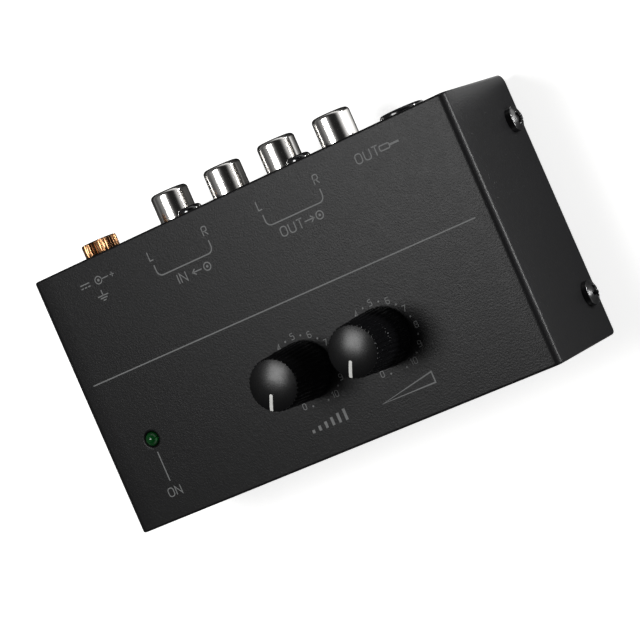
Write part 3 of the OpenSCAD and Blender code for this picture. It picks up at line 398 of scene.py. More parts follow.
def attributeOf(tree, name):
    # the value that markPoints has put on the piece's points
    return addNode(tree, "ShaderNodeAttribute", {}, attribute_name=name).outputs["Fac"]


def mattCrown(material, polished):
    # roughness = polished where the piece's attribute "matt" is 0, its own roughness where it is 1
    tree = material.node_tree
    slot = tree.nodes["Principled BSDF"].inputs["Roughness"]
    inputs = {0: attributeOf(tree, "matt"), 2: polished, 3: slot.links[0].from_socket}
    tree.links.new(addNode(tree, "ShaderNodeMix", inputs, data_type="FLOAT").outputs[0], slot)


mattCrown(knobPlastic, 0.15)


def darkGrooves(material, shade):
    # the valleys of a knurl, where the piece's attribute "groove" is 1, take a dark colour that stands
    # partly for dirt and partly for painted shade in the grooves
    tree = material.node_tree
    slot = tree.nodes["Principled BSDF"].inputs["Base Color"]
    groove = attributeOf(tree, "groove")
    tree.links.new(blendColour(tree, groove, slot.links[0].from_socket, shade), slot)


# painted shade and dirt, dark brown, in the valleys of the ground screw's knurl
darkGrooves(brass, "#3a2614")


def lampEpoxy():
    # clear green epoxy with faint clouds and a slightly uneven skin
    material = finish("green_lamp_epoxy", "#09441a #073814 #0c4d1f", (1.2, 0.3, 0.8), (0.07, 0.12), 0.002,
                      bump=0.1, specular=0.18)
    tree = material.node_tree
    feed(tree, tree.nodes["Principled BSDF"], {"Transmission Weight": 0.3, "IOR": 1.54})
    return material


# the folded cover

cover = {
    "bend": 1.5,  # outside radius of the two bends
    "nose": 0.48,  # how far the coat rounds the cut edges
    "noseRows": 13,
    "dialHole": (7.4, 4.6),  # of each hole: its width, and half the width of the square of grid round it
    "lampHole": (3.2, 2.6),
    "screwHole": (3.2, 2.4),
    "screwHeight": 5.3,  # above the lower edge
    "screwHead": 5.4,
    "backCorner": 2.2,
    "frontCorner": 1.0,
    "cell": 5.0,  # coarse spacing of the grid
    "fineCells": 10,  # cells across a hole's square
    "bendCells": 8,
    "rings": 4,  # rings from a hole's square to its circle
}
coverWidth = coverHigh[0] - coverLow[0]
endHeight = coverHigh[2] - coverLow[2] - cover["bend"]  # flat part of an end
bendLength = math.pi / 2 * cover["bend"]
blankLength = 2 * (endHeight + bendLength) + coverWidth - 2 * cover["bend"]


def gridLines(marks, blocks, cell):
    # grid lines through all marks and block edges, as close as the cell of the block that they are in
    marks = sorted({*marks, *[edge for low, high, _ in blocks for edge in (low, high)]})
    lines = []
    for a, b in zip(marks, marks[1:]):
        fine = min([cell] + [c for low, high, c in blocks if low <= a and b <= high])
        lines.append(np.linspace(a, b, max(1, math.ceil((b - a) / fine - 1e-6)) + 1)[:-1])
    return np.append(np.concatenate(lines), marks[-1])


def foldSheet(flat, depth):
    # takes (s, y) of the flat blank to the folded cover, depth under its outer skin: s runs up the left
    # end, round a quarter circle of radius bend - depth, across the top and down the right end
    s, y = flat[..., 0], flat[..., 1]
    bend = cover["bend"]
    near = np.minimum(s, blankLength - s)
    turn = np.clip((near - endHeight) / bend, 0, math.pi / 2)
    along = np.maximum(near - endHeight - bendLength, 0)
    x = -coverWidth / 2 + bend - (bend - depth) * np.cos(turn) + along
    z = coverLow[2] + np.minimum(near, endHeight) + (bend - depth) * np.sin(turn)
    return np.stack([np.where(s < blankLength / 2, x, -x), y + 0 * x, z], -1)


def cornerLift(y):
    # height of the rounded lower corners above the blank's edge: r - sqrt(r^2 - inside^2) for each y
    lifted = np.zeros_like(y)
    for edge, r in ((coverHigh[1] - y, cover["backCorner"]), (y - coverLow[1], cover["frontCorner"])):
        r = r - cover["nose"]
        inside = np.clip(r - (edge - cover["nose"]), 0, r)
        lifted = np.maximum(lifted, r - np.sqrt(r * r - inside * inside))
    return lifted


def loopQuads(numbers):
    # quads between neighbouring rows of point numbers, each row a closed loop
    following = np.roll(numbers, -1, axis=1)
    return np.stack([numbers[:-1], following[:-1], following[1:], numbers[1:]], -1).reshape(-1, 4)


def noseStrip(loop, flat, first, last):
    # the rounded cut edge along a loop of the blank: a half ellipse, nose * sin t outwards and
    # sheet / 2 * (1 - cos t) deep, t from 0 to 180 degrees; first is the number of its first point
    edge = flat[loop]
    outward = mitres(edge, True)[1]
    t = np.radians(np.linspace(0, 180, cover["noseRows"]))[1:-1, None]
    rows = edge[None] + outward[None] * (cover["nose"] * np.sin(t))[..., None]
    depth = sheet / 2 * (1 - np.cos(t)) + 0 * rows[..., 0]
    numbers = np.vstack([loop, first + np.arange(depth.size).reshape(depth.shape), last + loop])
    return rows, depth, loopQuads(numbers)


def coverHoles():
    # place s, y, radius and half square of each hole in the flat blank
    screwLow, screwHigh = nodeBox("cover_screws")
    screwY = (screwHigh[1] - screwLow[1] - cover["screwHead"]) / 2
    places = []
    for node, hole in (("level_knob", "dialHole"), ("volume_knob", "dialHole"), ("power_led", "lampHole")):
        x, y, _ = middleOf(node)
        places.append((blankLength / 2 + x, y, cover[hole]))
    for y in (middleY - screwY, middleY + screwY):
        for s in (cover["screwHeight"], blankLength - cover["screwHeight"]):
            places.append((s, y, cover["screwHole"]))
    return [(s, y, across / 2, half) for s, y, (across, half) in places]


def blankLines(holes):
    # places along s and y of the grid's lines: finer at holes and bends, and through every rounding
    nose = cover["nose"]
    alongS = [(s - b, s + b, 2 * b / cover["fineCells"]) for s, y, r, b in holes]
    alongY = [(y - b, y + b, 2 * b / cover["fineCells"]) for s, y, r, b in holes]
    for start in (endHeight, blankLength - endHeight - bendLength):
        alongS.append((start, start + bendLength, bendLength / cover["bendCells"]))
    rounding = 1 - np.cos(np.radians(np.arange(0, 91, 15)))
    ends = [nose, nose + 0.3, blankLength - nose - 0.3, blankLength - nose]
    edges = [*(coverLow[1] + nose + (cover["frontCorner"] - nose) * rounding),
             *(coverHigh[1] - nose - (cover["backCorner"] - nose) * rounding)]
    return gridLines(ends, alongS, cover["cell"]), gridLines(edges, alongY, cover["cell"])


def openHole(flat, keep, sLines, yLines, hole):
    # takes the hole's square out of the grid and leads rings from there to its circle, in equal shares:
    # square * (1 - share) + circle * share; gives their point numbers, the square's first, and places
    s, y, r, b = hole
    columns = len(yLines)
    i0, i1 = np.searchsorted(sLines, [s - b - 1e-6, s + b - 1e-6])
    j0, j1 = np.searchsorted(yLines, [y - b - 1e-6, y + b - 1e-6])
    keep[i0:i1, j0:j1] = False
    down, over = np.arange(i0, i1), np.arange(j0, j1)
    loop = np.concatenate([down * columns + j0, i1 * columns + over,
                           down[::-1] * columns + columns + j1, i0 * columns + over[::-1] + 1])
    square = flat[loop]
    angle = np.arctan2(square[:, 1] - y, square[:, 0] - s)
    reach = r + cover["nose"]
    circle = np.stack([s + reach * np.cos(angle), y + reach * np.sin(angle)], -1)
    share = (np.arange(1, cover["rings"] + 1) / cover["rings"])[:, None, None]
    inner = square[None] * (1 - share) + circle[None] * share
    added = len(flat) + np.arange(cover["rings"] * len(loop)).reshape(-1, len(loop))
    return np.vstack([loop, added]), inner.reshape(-1, 2)


def makeCover():
    # the flat blank is a grid with rings round each hole; it is folded twice, as the outer and the inner
    # skin, and rounded strips join the two along the rim and in the holes
    holes = coverHoles()
    sLines, yLines = blankLines(holes)
    rows, columns = len(sLines), len(yLines)
    flat = np.stack(np.meshgrid(sLines, yLines, indexing="ij"), -1).reshape(-1, 2)
    keep = np.ones((rows - 1, columns - 1), bool)
    rings = []
    loops = [np.concatenate([np.arange(rows - 1, 0, -1) * columns, np.arange(columns - 1),
                             np.arange(rows - 1) * columns + columns - 1,
                             (rows - 1) * columns + np.arange(columns - 1, 0, -1)])]
    for hole in holes:
        numbers, inner = openHole(flat, keep, sLines, yLines, hole)
        rings.append(loopQuads(numbers))
        loops.append(numbers[-1])
        flat = np.vstack([flat, inner])
    count = len(flat)
    i, j = np.nonzero(keep)
    cells = np.stack([i * columns + j, (i + 1) * columns + j, (i + 1) * columns + j + 1,
                      i * columns + j + 1], -1)
    skin = np.vstack([cells, *rings])
    # the lowest part of each end is squeezed upwards to the rounded corners
    near = np.minimum(flat[:, 0], blankLength - flat[:, 0])
    reach = cover["screwHeight"] - cover["screwHole"][1] - cover["nose"]
    rise = cornerLift(flat[:, 1]) * np.clip(1 - (near - cover["nose"]) / reach, 0, 1)
    flat[:, 0] += np.where(flat[:, 0] < blankLength / 2, rise, -rise)
    points = [foldSheet(flat, 0.0), foldSheet(flat, sheet)]
    faces = [skin, skin[:, ::-1] + count]
    for loop in loops:
        place, depth, quads = noseStrip(loop, flat, sum(len(p) for p in points), count)
        points.append(foldSheet(place, depth).reshape(-1, 3))
        faces.append(quads)
    shell = addMesh("coverShell", np.vstack(points), np.vstack(faces).tolist(), powderCoat)
    standFor(shell, "top_cover")


makeCover()
print("cover folded")


# knobs and pointers

knob = {
    "height": 15.4,
    "baseRadius": 6.2,
    "rimRadius": 5.55,
    "rimFall": 0.42,  # how far the ribs' rounding reaches down from the rim
    "crownRadius": 5.2,
    "step": 0.6,  # height of the small step in the side, as a share of the side
    "slim": 0.07,  # how far the side stands back over the step
    "dome": 0.9,  # height of the crown over the rim
    "grooves": 36,
    "cutter": 0.45,  # radius of each round groove
    "depth": 0.3,
    "bore": 3.02,
    "boreFlat": 1.52,  # distance of the bore's flat from the axis
    "boreHeight": 11.52,
    "hub": 4.1,
    "skirt": 1.4,  # wall left outside the hollow
    "hollow": 8.0,
    "samples": 12,  # points round one groove
}
knobTurn = math.radians(150)  # where the pointer stands at rest, from the back, anticlockwise


def crownHeight(r):
    # height of the crown over the rim at radius r: a cap of a sphere
    ball = (knob["rimRadius"] ** 2 + knob["dome"] ** 2) / (2 * knob["dome"])
    return np.sqrt(ball ** 2 - np.square(r)) - (ball - knob["dome"])


def grooved(r, angle):
    # the ribbed outline: the radius less what a round cutter takes out at each groove
    pitch = 2 * math.pi / knob["grooves"]
    off = np.abs((angle + pitch / 2) % pitch - pitch / 2) * r
    inside = np.sqrt(np.maximum(knob["cutter"] ** 2 - off ** 2, 0)) - (knob["cutter"] - knob["depth"])
    return r - np.maximum(inside, 0)


def makeKnob(name, node, body):
    # rows of (radius, height) from the bore's end to the middle of the crown, each given for all angles
    x, y, _ = middleOf(node)
    low = nodeBox(node)[0][2]
    side = knob["height"] - knob["dome"]
    angle = onceRound(knob["grooves"] * knob["samples"])
    base, rim = knob["baseRadius"], knob["rimRadius"]
    # bottom: up the bore, over the hub, down into the hollow and out to the skirt's lower edge
    bore = np.minimum(knob["bore"], knob["boreFlat"] / np.maximum(np.cos(angle - math.pi / 2), 1e-3))
    inner = base - knob["skirt"]
    hollow = np.array([[knob["hub"] - 0.2, 0], [knob["hub"], 0.2], [knob["hub"], knob["hollow"]],
                       [inner, knob["hollow"]], [inner, 0.15], [inner + 0.15, 0]])
    rows = [(0, knob["boreHeight"]), (bore, knob["boreHeight"]), (bore, 0.25), (bore + 0.25, 0),
            (hollow[:, :1], hollow[:, 1:])]
    # side: a ribbed cone, a shade slimmer above the step
    shoulder = knob["step"] * side
    ease = 0.18  # slope at the lower edge
    rise = np.concatenate([[0, ease], np.linspace(0.6, shoulder - 0.2, 10),
                           shoulder + np.linspace(-0.1, 0.1, 5),
                           np.linspace(shoulder + 0.2, side - knob["rimFall"], 10)])[:, None]
    cone = base + (rim - base) * rise / side
    outline = grooved(cone, angle) - knob["slim"] * np.clip((rise - shoulder + 0.1) / 0.2, 0, 1)
    outline[0] -= ease
    rows.append((outline, rise))
    # rim: each rib rounds inwards to the smooth crown along a quarter ellipse, cos t and sin t
    turn = np.radians(np.linspace(12, 90, 8))[:, None]
    crownEdge = knob["crownRadius"]
    start, end = side - knob["rimFall"], side + crownHeight(crownEdge)
    rows.append((crownEdge + (outline[-1:] - crownEdge) * np.cos(turn),
                 start + (end - start) * np.sin(turn)))
    # crown: rings of a spherical cap
    ring = crownEdge * np.sqrt(np.linspace(0.985, 0.0, 22))[:, None]
    rows.append((ring, side + crownHeight(ring)))
    points, faces = closeTurned(turnedRows(rows, angle + knobTurn))
    piece = addMesh(name, layAlong(points, [x, y, low], "+z"), faces, knobPlastic, body, 40)
    markPoints(piece, "matt", (np.hypot(*points[:, :2].T) < crownEdge + 0.02) & (points[:, 2] > side))
    standFor(piece, node)
    return x, y, low


pointer = {
    "start": 2.0,  # inner end's centre, from the axis
    "width": 0.7,
    "depth": 0.8,
    "proud": 0.035,
}


def makePointer(name, node, body, place):
    # an inlaid line with a round inner end: rows along the line, columns across it, top = the crown's
    # height + proud, a shade lower at its two long edges
    half = pointer["width"] / 2
    outer = knob["crownRadius"] + 0.02
    turn = np.radians(np.linspace(-84, 0, 9))
    along = np.concatenate([pointer["start"] + half * np.sin(turn),
                            np.linspace(pointer["start"], outer, 14)[1:]])
    across = np.concatenate([half * np.cos(turn), np.full(13, half)])
    share = np.linspace(-1, 1, 9)
    v, u = np.broadcast_arrays(across[:, None] * share[None, :], along[:, None])
    side = knob["height"] - knob["dome"]
    top = side + crownHeight(np.minimum(np.hypot(u, v), knob["rimRadius"])) + pointer["proud"]
    top = top - 0.03 * (np.abs(share)[None, :] > 0.99)
    upper = np.stack([v, u, top], -1)
    lower = np.stack([v, u, np.full_like(v, side - pointer["depth"])], -1)
    section = np.concatenate([upper, lower[:, ::-1]], 1)
    rows, columns = section.shape[:2]
    faces = gridFaces(rows, columns)
    faces += [list(range((rows - 1) * columns, rows * columns)), list(range(columns))[::-1]]
    points = spun(section.reshape(-1, 3), knobTurn) + np.array(place)
    standFor(addMesh(name, points, faces, pointerPaint, body), node)


for dial in ("level", "volume"):
    place = makeKnob(dial + "KnobCap", dial + "_knob", dial + "_dial")
    makePointer(dial + "PointerLine", dial + "_pointer", dial + "_dial", place)
print("knobs and pointers turned")


# lamp

lamp = {
    "radius": 1.5,
    "flange": 1.9,
    "flangeHeight": 1.0,
    "height": 5.3,
    "cup": 0.85,  # radius of the reflector cup inside the epoxy
    "cupDepth": 0.45,
    "post": 0.22,
    "posts": ((-0.5715, 0.85), (1.0795, 0.3)),  # place across, and how far the top is below the cup's rim
}


def makeLamp():
    # the body's outline: a flange, a straight side and half a sphere; inside it the lead frame that
    # shows through the epoxy, a cup on one post and an anvil on the other
    x, y, _ = middleOf("power_led")
    origin = [x, y, nodeBox("power_led")[0][2]]
    r, top = lamp["radius"], lamp["height"]
    outline = profile([0, 0], [lamp["flange"] - 0.1, 0], [lamp["flange"], 0.1],
                      arc((lamp["flange"] - 0.12, lamp["flangeHeight"] - 0.12), 0.12, 0, 90, 4),
                      arc((r + 0.1, lamp["flangeHeight"] + 0.1), 0.1, 270, 180, 4),
                      arc((0, top - r), r, 0, 90, 18))
    outline[-1, 0] = 0
    standFor(turnedPiece("lampBody", outline, origin, "+z", lampEpoxy(), 64), "power_led")
    cup = lamp["cup"]
    cupTop = top - r - 0.5
    bowl = profile([0, cupTop - 2 * lamp["cupDepth"]], [cup - 0.25, cupTop - 2 * lamp["cupDepth"]],
                   [cup, cupTop], [cup - 0.12, cupTop], [cup - 0.4, cupTop - lamp["cupDepth"]],
                   [0, cupTop - lamp["cupDepth"]])
    parts = [lathe(bowl, 40)]
    for across, below in lamp["posts"]:
        r, end = lamp["post"], cupTop - below
        points, faces = lathe(profile([0, 0.1], [r, 0.1], [r, end - 0.05], [r - 0.07, end], [0, end]), 12)
        parts.append((points + np.array([across, 0, 0]), faces))
    points, faces = joinParts(parts)
    inner = addMesh("lampLeadFrame", points + np.array(origin), faces, tinPlate)


makeLamp()
print("lamp made")


# screws

screwFlat = 0.42  # the flat middle of a head's face, as a share of its radius


def crossRecess(x, y, length, width, depth):
    # how far a cross recess goes down at x, y: for each arm, depth * leaning walls * rising end
    deep = np.zeros_like(x)
    for a, b in ((x, y), (y, x)):
        wall = np.clip((width / 2 - np.abs(b)) / (width * 0.18), 0, 1)
        end = np.clip(1 - np.abs(a) / (length / 2), 0, 1)
        deep = np.maximum(deep, depth * wall * np.minimum(end * 1.8, 1))
    return deep


def threadWave(turns, pitch, angle):
    # 1 on the ridge of a thread, which runs along height / pitch = angle / 360 degrees, and 0 beside it
    return np.abs((turns / pitch - angle / (2 * math.pi)) % 1 - 0.5) * 2


def screwShape(head, shank, length, pitch):
    # turned round +Z with the head's underside at z = 0. head: radius, height, radius of the rounded
    # edge, and slope in degrees of the face outside its flat middle, which falls by
    # tan(slope) * (hypot(r - flat, 0.2) - 0.2); the thread's radius is shank - pitch / 2 * (1 - wave)
    angle = onceRound(72)
    turns = np.linspace(-length, -0.1, max(8, int(length / pitch * 6)))[:, None]
    fade = np.clip((turns + length) / pitch, 0, 1) * np.clip(-turns / pitch, 0.15, 1)
    core = shank - pitch / 2 * (1 - threadWave(turns, pitch, angle) * fade)
    radius, height, edge, slope = head
    end = math.radians(90 - max(slope, 8))
    face = np.linspace(radius - edge + edge * math.cos(end) - 0.02, 0, 36)
    outside = np.maximum(face - screwFlat * radius, 0)
    rise = height - math.tan(math.radians(slope)) * (np.hypot(outside, 0.2) - 0.2)
    edgeArc = arc((radius - edge, rise[0] - edge * math.sin(end)), edge, 0, math.degrees(end), 8)
    outline = profile([shank, 0], [radius - 0.06, 0], [radius, 0.06], edgeArc, np.stack([face, rise], -1))
    tip = shank - pitch / 2 - 0.1
    return turnedRows([(0, -length), (tip, -length), (core, turns), (outline[:, :1], outline[:, 1:])],
                      angle)


def panScrew(head, shank, length, pitch, recess):
    # the head's upper points, those over half its height, go down by the depth of the cross recess
    surface = screwShape(head, shank, length, pitch)
    onHead = surface[..., 2] > head[1] * 0.5
    cut = crossRecess(surface[..., 0], surface[..., 1], *recess)
    surface[..., 2] -= np.where(onHead, cut, 0)
    return closeTurned(surface)


coverScrew = {"head": (2.7, 2.0, 0.2, 30), "shank": 1.5, "length": 5, "pitch": 0.5,
              "recess": (3.1, 0.9, 1.25)}
jackScrew = {"head": (2.6, 2.0, 0.9, 2), "shank": 1.3, "length": 9, "pitch": 0.9,
             "recess": (2.8, 0.8, 1.15)}
boardScrew = {"head": (2.3, 1.7, 0.76, 2), "shank": 1.25, "length": 4, "pitch": 0.45,
              "recess": (2.6, 0.75, 1.0)}


def screwSet(name, node, screw, places, material):
    # a screw at each place, given as origin, way and spin in degrees round its own axis
    parts = []
    for origin, way, spin in places:
        points, faces = panScrew(**screw)
        parts.append((layAlong(spun(points, math.radians(spin)), origin, way), faces))
    standFor(addMesh(name, *joinParts(parts), material), node)


def makeScrews():
    # every set fills its CAD node's box: the outer screws are a head's radius inside its ends; each
    # cover screw stops at a turn of its own
    low, high = nodeBox("cover_screws")
    r = coverScrew["head"][0]
    seats = [([side, y, (low[2] + high[2]) / 2], way)
             for side, way in ((coverHigh[0], "+x"), (coverLow[0], "-x"))
             for y in (low[1] + r, high[1] - r)]
    screwSet("coverScrewSet", "cover_screws", coverScrew,
             [(*seat, 18 + 31 * n) for n, seat in enumerate(seats)], blackScrew)
    low, high = nodeBox("jack_screws")
    r = jackScrew["head"][0]
    screwSet("jackScrewSet", "jack_screws", jackScrew,
             [([x, backWallY, (low[2] + high[2]) / 2], "+y", 0) for x in (low[0] + r, high[0] - r)],
             blackScrew)
    low, high = nodeBox("board_screws")
    r, height = boardScrew["head"][:2]
    screwSet("boardScrewSet", "board_screws", boardScrew,
             [([x, y, high[2] - height], "+z", 0)
              for x in (low[0] + r, high[0] - r) for y in (low[1] + r, high[1] - r)], dullNickel)


makeScrews()
print("screws cut")


# sockets at the back

barrel = {
    "length": 15.15,
    "seat": 7.75,  # part inside the wall
    "radius": 4.15,
    "rootRadius": 3.95,
    "bore": 3.4,
    "mouth": 3.25,
    "lip": 0.6,
    "edge": 0.9,
}


def barrelOutline():
    # from the bore's inner end round the root, up the side with its rounded edge, and in over the lip
    r, top, seat, edge = barrel["radius"], barrel["length"], barrel["seat"], barrel["edge"]
    bore, root, mouth = barrel["bore"], barrel["rootRadius"], barrel["mouth"]
    side = np.linspace(seat + 0.4, top - edge - 0.1, 12)
    return profile([bore, 0.1], [bore + 0.1, 0], [root - 0.1, 0], [root, 0.1], [root, seat - 0.01],
                   [r - 0.05, seat], [r, seat + 0.05], np.stack([np.full(12, r), side], -1),
                   arc((r - edge, top - edge), edge, 0, 88, 12),
                   arc((mouth + 0.12, top - 0.12), 0.12, 95, 180, 4),
                   [mouth, top - barrel["lip"] + 0.05], [bore, top - barrel["lip"] - 0.1])


insulator = {
    "length": 14.55,
    "radius": 3.38,
    "seatBore": 2.12,
    "mouthBore": 1.75,
    "seatDepth": 13.55,
    "groove": (2.35, 2.72, 0.25),  # inner and outer radius and depth of the ring round the mouth
}


def insulatorOutline():
    # a plain ring with a rounded edge and a shallow groove round its narrower mouth
    r, top = insulator["radius"], insulator["length"]
    seat, mouth, deep = insulator["seatBore"], insulator["mouthBore"], insulator["seatDepth"]
    inner, outer, sunk = insulator["groove"]
    return profile([seat, 0], [r - 0.1, 0], [r, 0.1], [r, top - 0.08],
                   arc((r - 0.15, top - 0.15), 0.15, 20, 90, 4),
                   [outer + 0.13, top], [outer, top - sunk], [inner, top - sunk],
                   [inner - 0.13, top - 0.02], arc((mouth + 0.14, top - 0.14), 0.14, 100, 180, 4),
                   [mouth, deep], [seat, deep])


contact = {"radius": 2.1, "bore": 1.65, "depth": 10.0}


def contactOutline(node):
    # a pin as long as its CAD node, with a blind bore from its outer end
    low, high = nodeBox(node)
    length = high[1] - low[1]
    r, bore, depth = contact["radius"], contact["bore"], contact["depth"]
    return profile([0, 0], [r - 0.15, 0], [r, 0.15], [r, length - 0.12], [r - 0.12, length],
                   [bore + 0.15, length], [bore, length - 0.15], [bore, length - depth + 0.1],
                   [0, length - depth])


def socketPiece(name, node, outline, material, steps, sharp=32, body="case"):
    # a lathed piece along +Y, its foot at the inner end of its CAD node
    x, _, z = middleOf(node)
    origin = [x, nodeBox(node)[0][1], z]
    standFor(turnedPiece(name, outline, origin, "+y", material, steps, body, sharp), node)


for pair in ("input", "output"):
    for channel, plastic in (("left", whitePlastic), ("right", redPlastic)):
        stem = pair + "_" + channel
        short = pair + channel.capitalize()
        socketPiece(short + "Sleeve", stem + "_barrel", barrelOutline(), brightNickel, 112, 50)
        socketPiece(short + "Ring", stem + "_insulator", insulatorOutline(), plastic, 72)
        pin = stem + "_contact"
        socketPiece(short + "Socket", pin, contactOutline(pin), goldPlate, 56)
print("phono sockets turned")


# ground terminal

ground = {
    "headRadius": 3.9,
    "head": 2.95,
    "grooves": 30,
    "depth": 0.24,
    "screwRadius": 2.0,
    "screwLength": 7.0,
    "pitch": 0.7,
    "washerBore": 2.05,
    "washerHeight": 0.5,
}


def makeGroundScrew():
    # turned round +Y: the knurl's radius is r - depth * (1 - cos(grooves * angle)) / 2, and the thread's
    # is shank - 0.3 * (1 - wave)
    angle = onceRound(ground["grooves"] * 10)
    r, depth, top = ground["headRadius"], ground["depth"], ground["head"]
    length, pitch, shank = ground["screwLength"], ground["pitch"], ground["screwRadius"]
    knurl = r - depth * (0.5 - 0.5 * np.cos(ground["grooves"] * angle))
    turns = np.linspace(-length, -0.1, 60)[:, None]
    fade = np.clip((turns + length) / pitch, 0, 1)
    rows = [(0, -length), (shank - 0.4, -length),
            (shank - 0.3 * (1 - threadWave(turns, pitch, angle) * fade), turns)]
    # the head from its underside to the middle of its face, each row no wider than the first number
    for widest, height in ((r - 0.3, 0), (r - 0.12, 0.08), (r, 0.28), (r, top / 2), (r, top - 0.28),
                           (r - 0.14, top - 0.06), (r - 0.34, top), (2.2, top), (1.9, top - 0.12),
                           (0, top - 0.12)):
        rows.append((np.minimum(knurl, widest), height))
    points, faces = closeTurned(turnedRows(rows, angle))
    x, _, z = middleOf("ground_screw")
    origin = [x, nodeBox("ground_screw")[1][1] - top, z]
    piece = addMesh("groundThumbScrew", layAlong(points, origin, "+y"), faces, brass, "ground_screw", 28)
    reach = np.hypot(points[:, 0], points[:, 1])
    # how deep each point lies in a groove, where the brass takes its painted shade and dirt
    markPoints(piece, "groove", np.where(reach > r - 1.01 * depth, (r - reach) / depth, 0))
    standFor(piece, "ground_screw")


def washerOutline():
    # a flat ring with eased edges, as wide as its CAD node
    low, high = nodeBox("ground_washer")
    r, bore, top = (high[0] - low[0]) / 2, ground["washerBore"], ground["washerHeight"]
    return profile([bore, 0.06], [bore + 0.06, 0], [r - 0.12, 0],
                   arc((r - 0.12, 0.12), 0.12, 300, 360, 3), [r, top - 0.12], [r - 0.1, top],
                   [bore + 0.06, top], [bore, top - 0.06])


makeGroundScrew()
socketPiece("groundWasherRing", "ground_washer", washerOutline(), brass, 64, body="ground_washer")
print("ground terminal made")


# feet

rubberFoot = {"radius": 4.5, "lower": 4.1, "height": 2.5, "rounding": 0.5}


def makeFeet():
    # a slightly hollow underside, a rounded lower edge and a leaning side; one foot in each corner of
    # the CAD node's box
    low, high = nodeBox("rubber_feet")
    r, height, rounding = rubberFoot["radius"], rubberFoot["height"], rubberFoot["rounding"]
    flat = rubberFoot["lower"] - rounding
    points, faces = lathe(profile([0, 0.12], [1.2, 0.1], [2.6, 0.02], [flat, 0],
                                  arc((flat, rounding), rounding, 285, 360, 6),
                                  [r - 0.05, height - 0.1], [r - 0.1, height], [0, height]), 64)
    parts = [(points + np.array([x, y, low[2]]), faces)
             for x in (low[0] + r, high[0] - r) for y in (low[1] + r, high[1] - r)]
    standFor(addMesh("footSet", *joinParts(parts), footRubber), "rubber_feet")


makeFeet()
print("feet made")


# mouldings and sheet that keep the frame's shape

roundedCopy("base_tray", "foldedTray", 0.12, trayCoat)
roundedCopy("input_jack_block", "inputSocketBlock", 0.25, blackMoulding)
roundedCopy("output_jack_block", "outputSocketBlock", 0.25, blackMoulding)
roundedCopy("phone_jack_body", "phoneSocketHousing", 0.2, glossyNose)
roundedCopy("dc_inlet_body", "powerInletHousing", 0.2, blackMoulding)
print("mouldings eased")

# finishes of the pieces that stay as they are

plainPieces = {
    solderMask: ["main_board"],
    dullNickel: ["board_standoffs", "level_pot_bush", "volume_pot_bush", "level_pot_shaft",
                 "volume_pot_shaft", "phone_sleeve_contact", "dc_centre_pin", "dc_spring_contact",
                 "ground_lug"],
    tinPlate: ["level_pot_pins", "volume_pot_pins", "led_leads", "phono_terminals", "ground_link"],
    potHousing: ["level_pot_body", "volume_pot_body"],
    carbonTrack: ["level_pot_tracks", "volume_pot_tracks"],
    wiperPlastic: ["level_pot_wipers", "volume_pot_wipers", "led_spacer"],
    goldPlate: ["phone_ring_contact", "phone_tip_contact"],
    brass: ["ground_nut"],
    chipPlastic: ["op_amps", "voltage_regulator", "protection_diode"],
    capSleeve: ["electrolytic_capacitors"],
    filmCase: ["film_capacitors"],
    resistorLacquer: ["resistors"],
}
for material, names in plainPieces.items():
    for name in names:
        data = nodes[name].data
        data.materials.clear()
        data.materials.append(material)
print("inner pieces finished")


# printed marks: strokes of ink lying on the cover

ink = {
    "proud": 0.02,  # how far the ink stands over the coat
    "sunk": 0.03,  # how far its underside is in the coat
    "weight": 0.12,  # stroke width as a share of the letter's height
    "narrow": 0.58,  # width of a letter as a share of its height
    "broad": 0.74,  # the same for the wider capitals
    "space": 0.32,
}
inkLow, inkHigh = topZ - ink["sunk"], topZ + ink["proud"]


def roundCorners(corners, radius, closed=False, steps=5):
    # replaces each inner corner of a line by an arc that meets both sides: its centre lies on the line
    # that halves the corner, radius / sin(half the angle) away
    corners = np.asarray(corners, float)
    if radius <= 0:
        return corners
    out = []
    n = len(corners)
    for i in range(n):
        if not closed and i in (0, n - 1):
            out.append(corners[i:i + 1])
            continue
        here, before, after = corners[i], corners[i - 1], corners[(i + 1) % n]
        back, ahead = np.linalg.norm(before - here), np.linalg.norm(after - here)
        a, b = (before - here) / back, (after - here) / ahead
        half = math.acos(np.clip(a @ b, -1, 1)) / 2
        reach = min(radius / math.tan(half), back * 0.49, ahead * 0.49)
        middle = here + (a + b) / np.linalg.norm(a + b) * reach / math.cos(half)
        start = here + a * reach - middle
        end = here + b * reach - middle
        t = np.linspace(0, 1, steps)[:, None]
        swing = math.acos(np.clip(start @ end / (start @ start), -1, 1))
        out.append(middle + (start * np.sin((1 - t) * swing) + end * np.sin(t * swing)) / math.sin(swing))
    return np.concatenate(out)


def inkRibbon(line, width, closed=False):
    # a flat section carried along a line in the plane, width / 2 to each side; where the line turns
    # its corners are further out, width / 2 / (normal . own)
    line = np.asarray(line, float)
    own, normal = mitres(line, closed)
    offset = normal * (width / 2 / np.maximum((normal * own).sum(1), 0.35))[:, None]
    left, right = line + offset, line - offset
    section = ((left, inkHigh), (left, inkLow), (right, inkLow), (right, inkHigh))
    points = np.stack([np.column_stack([p, np.full(len(p), z)]) for p, z in section], 1).reshape(-1, 3)
    n = len(line)
    faces = gridFaces(n, 4)
    if closed:
        last, first = (n - 1) * 4 + np.arange(4), np.arange(4)
        faces += np.stack([last, np.roll(last, -1), np.roll(first, -1), first], -1).tolist()
    else:
        faces += [[(n - 1) * 4 + k for k in range(4)], [3, 2, 1, 0]]
    return points, faces


def inkLines(x, y, lines):
    # straight ribbons at x, y; each line gives x and y of both ends from there, and its stroke
    return [inkRibbon([(x + x0, y + y0), (x + x1, y + y1)], stroke) for x0, y0, x1, y1, stroke in lines]


def inkDot(x, y, radius):
    # a flat round dot: its edge is at x + r cos a, y + r sin a
    outline = profile([0, inkLow], [radius, inkLow], [radius, inkHigh], [0, inkHigh])
    points, faces = lathe(outline, 14)
    return points + np.array([x, y, 0]), faces


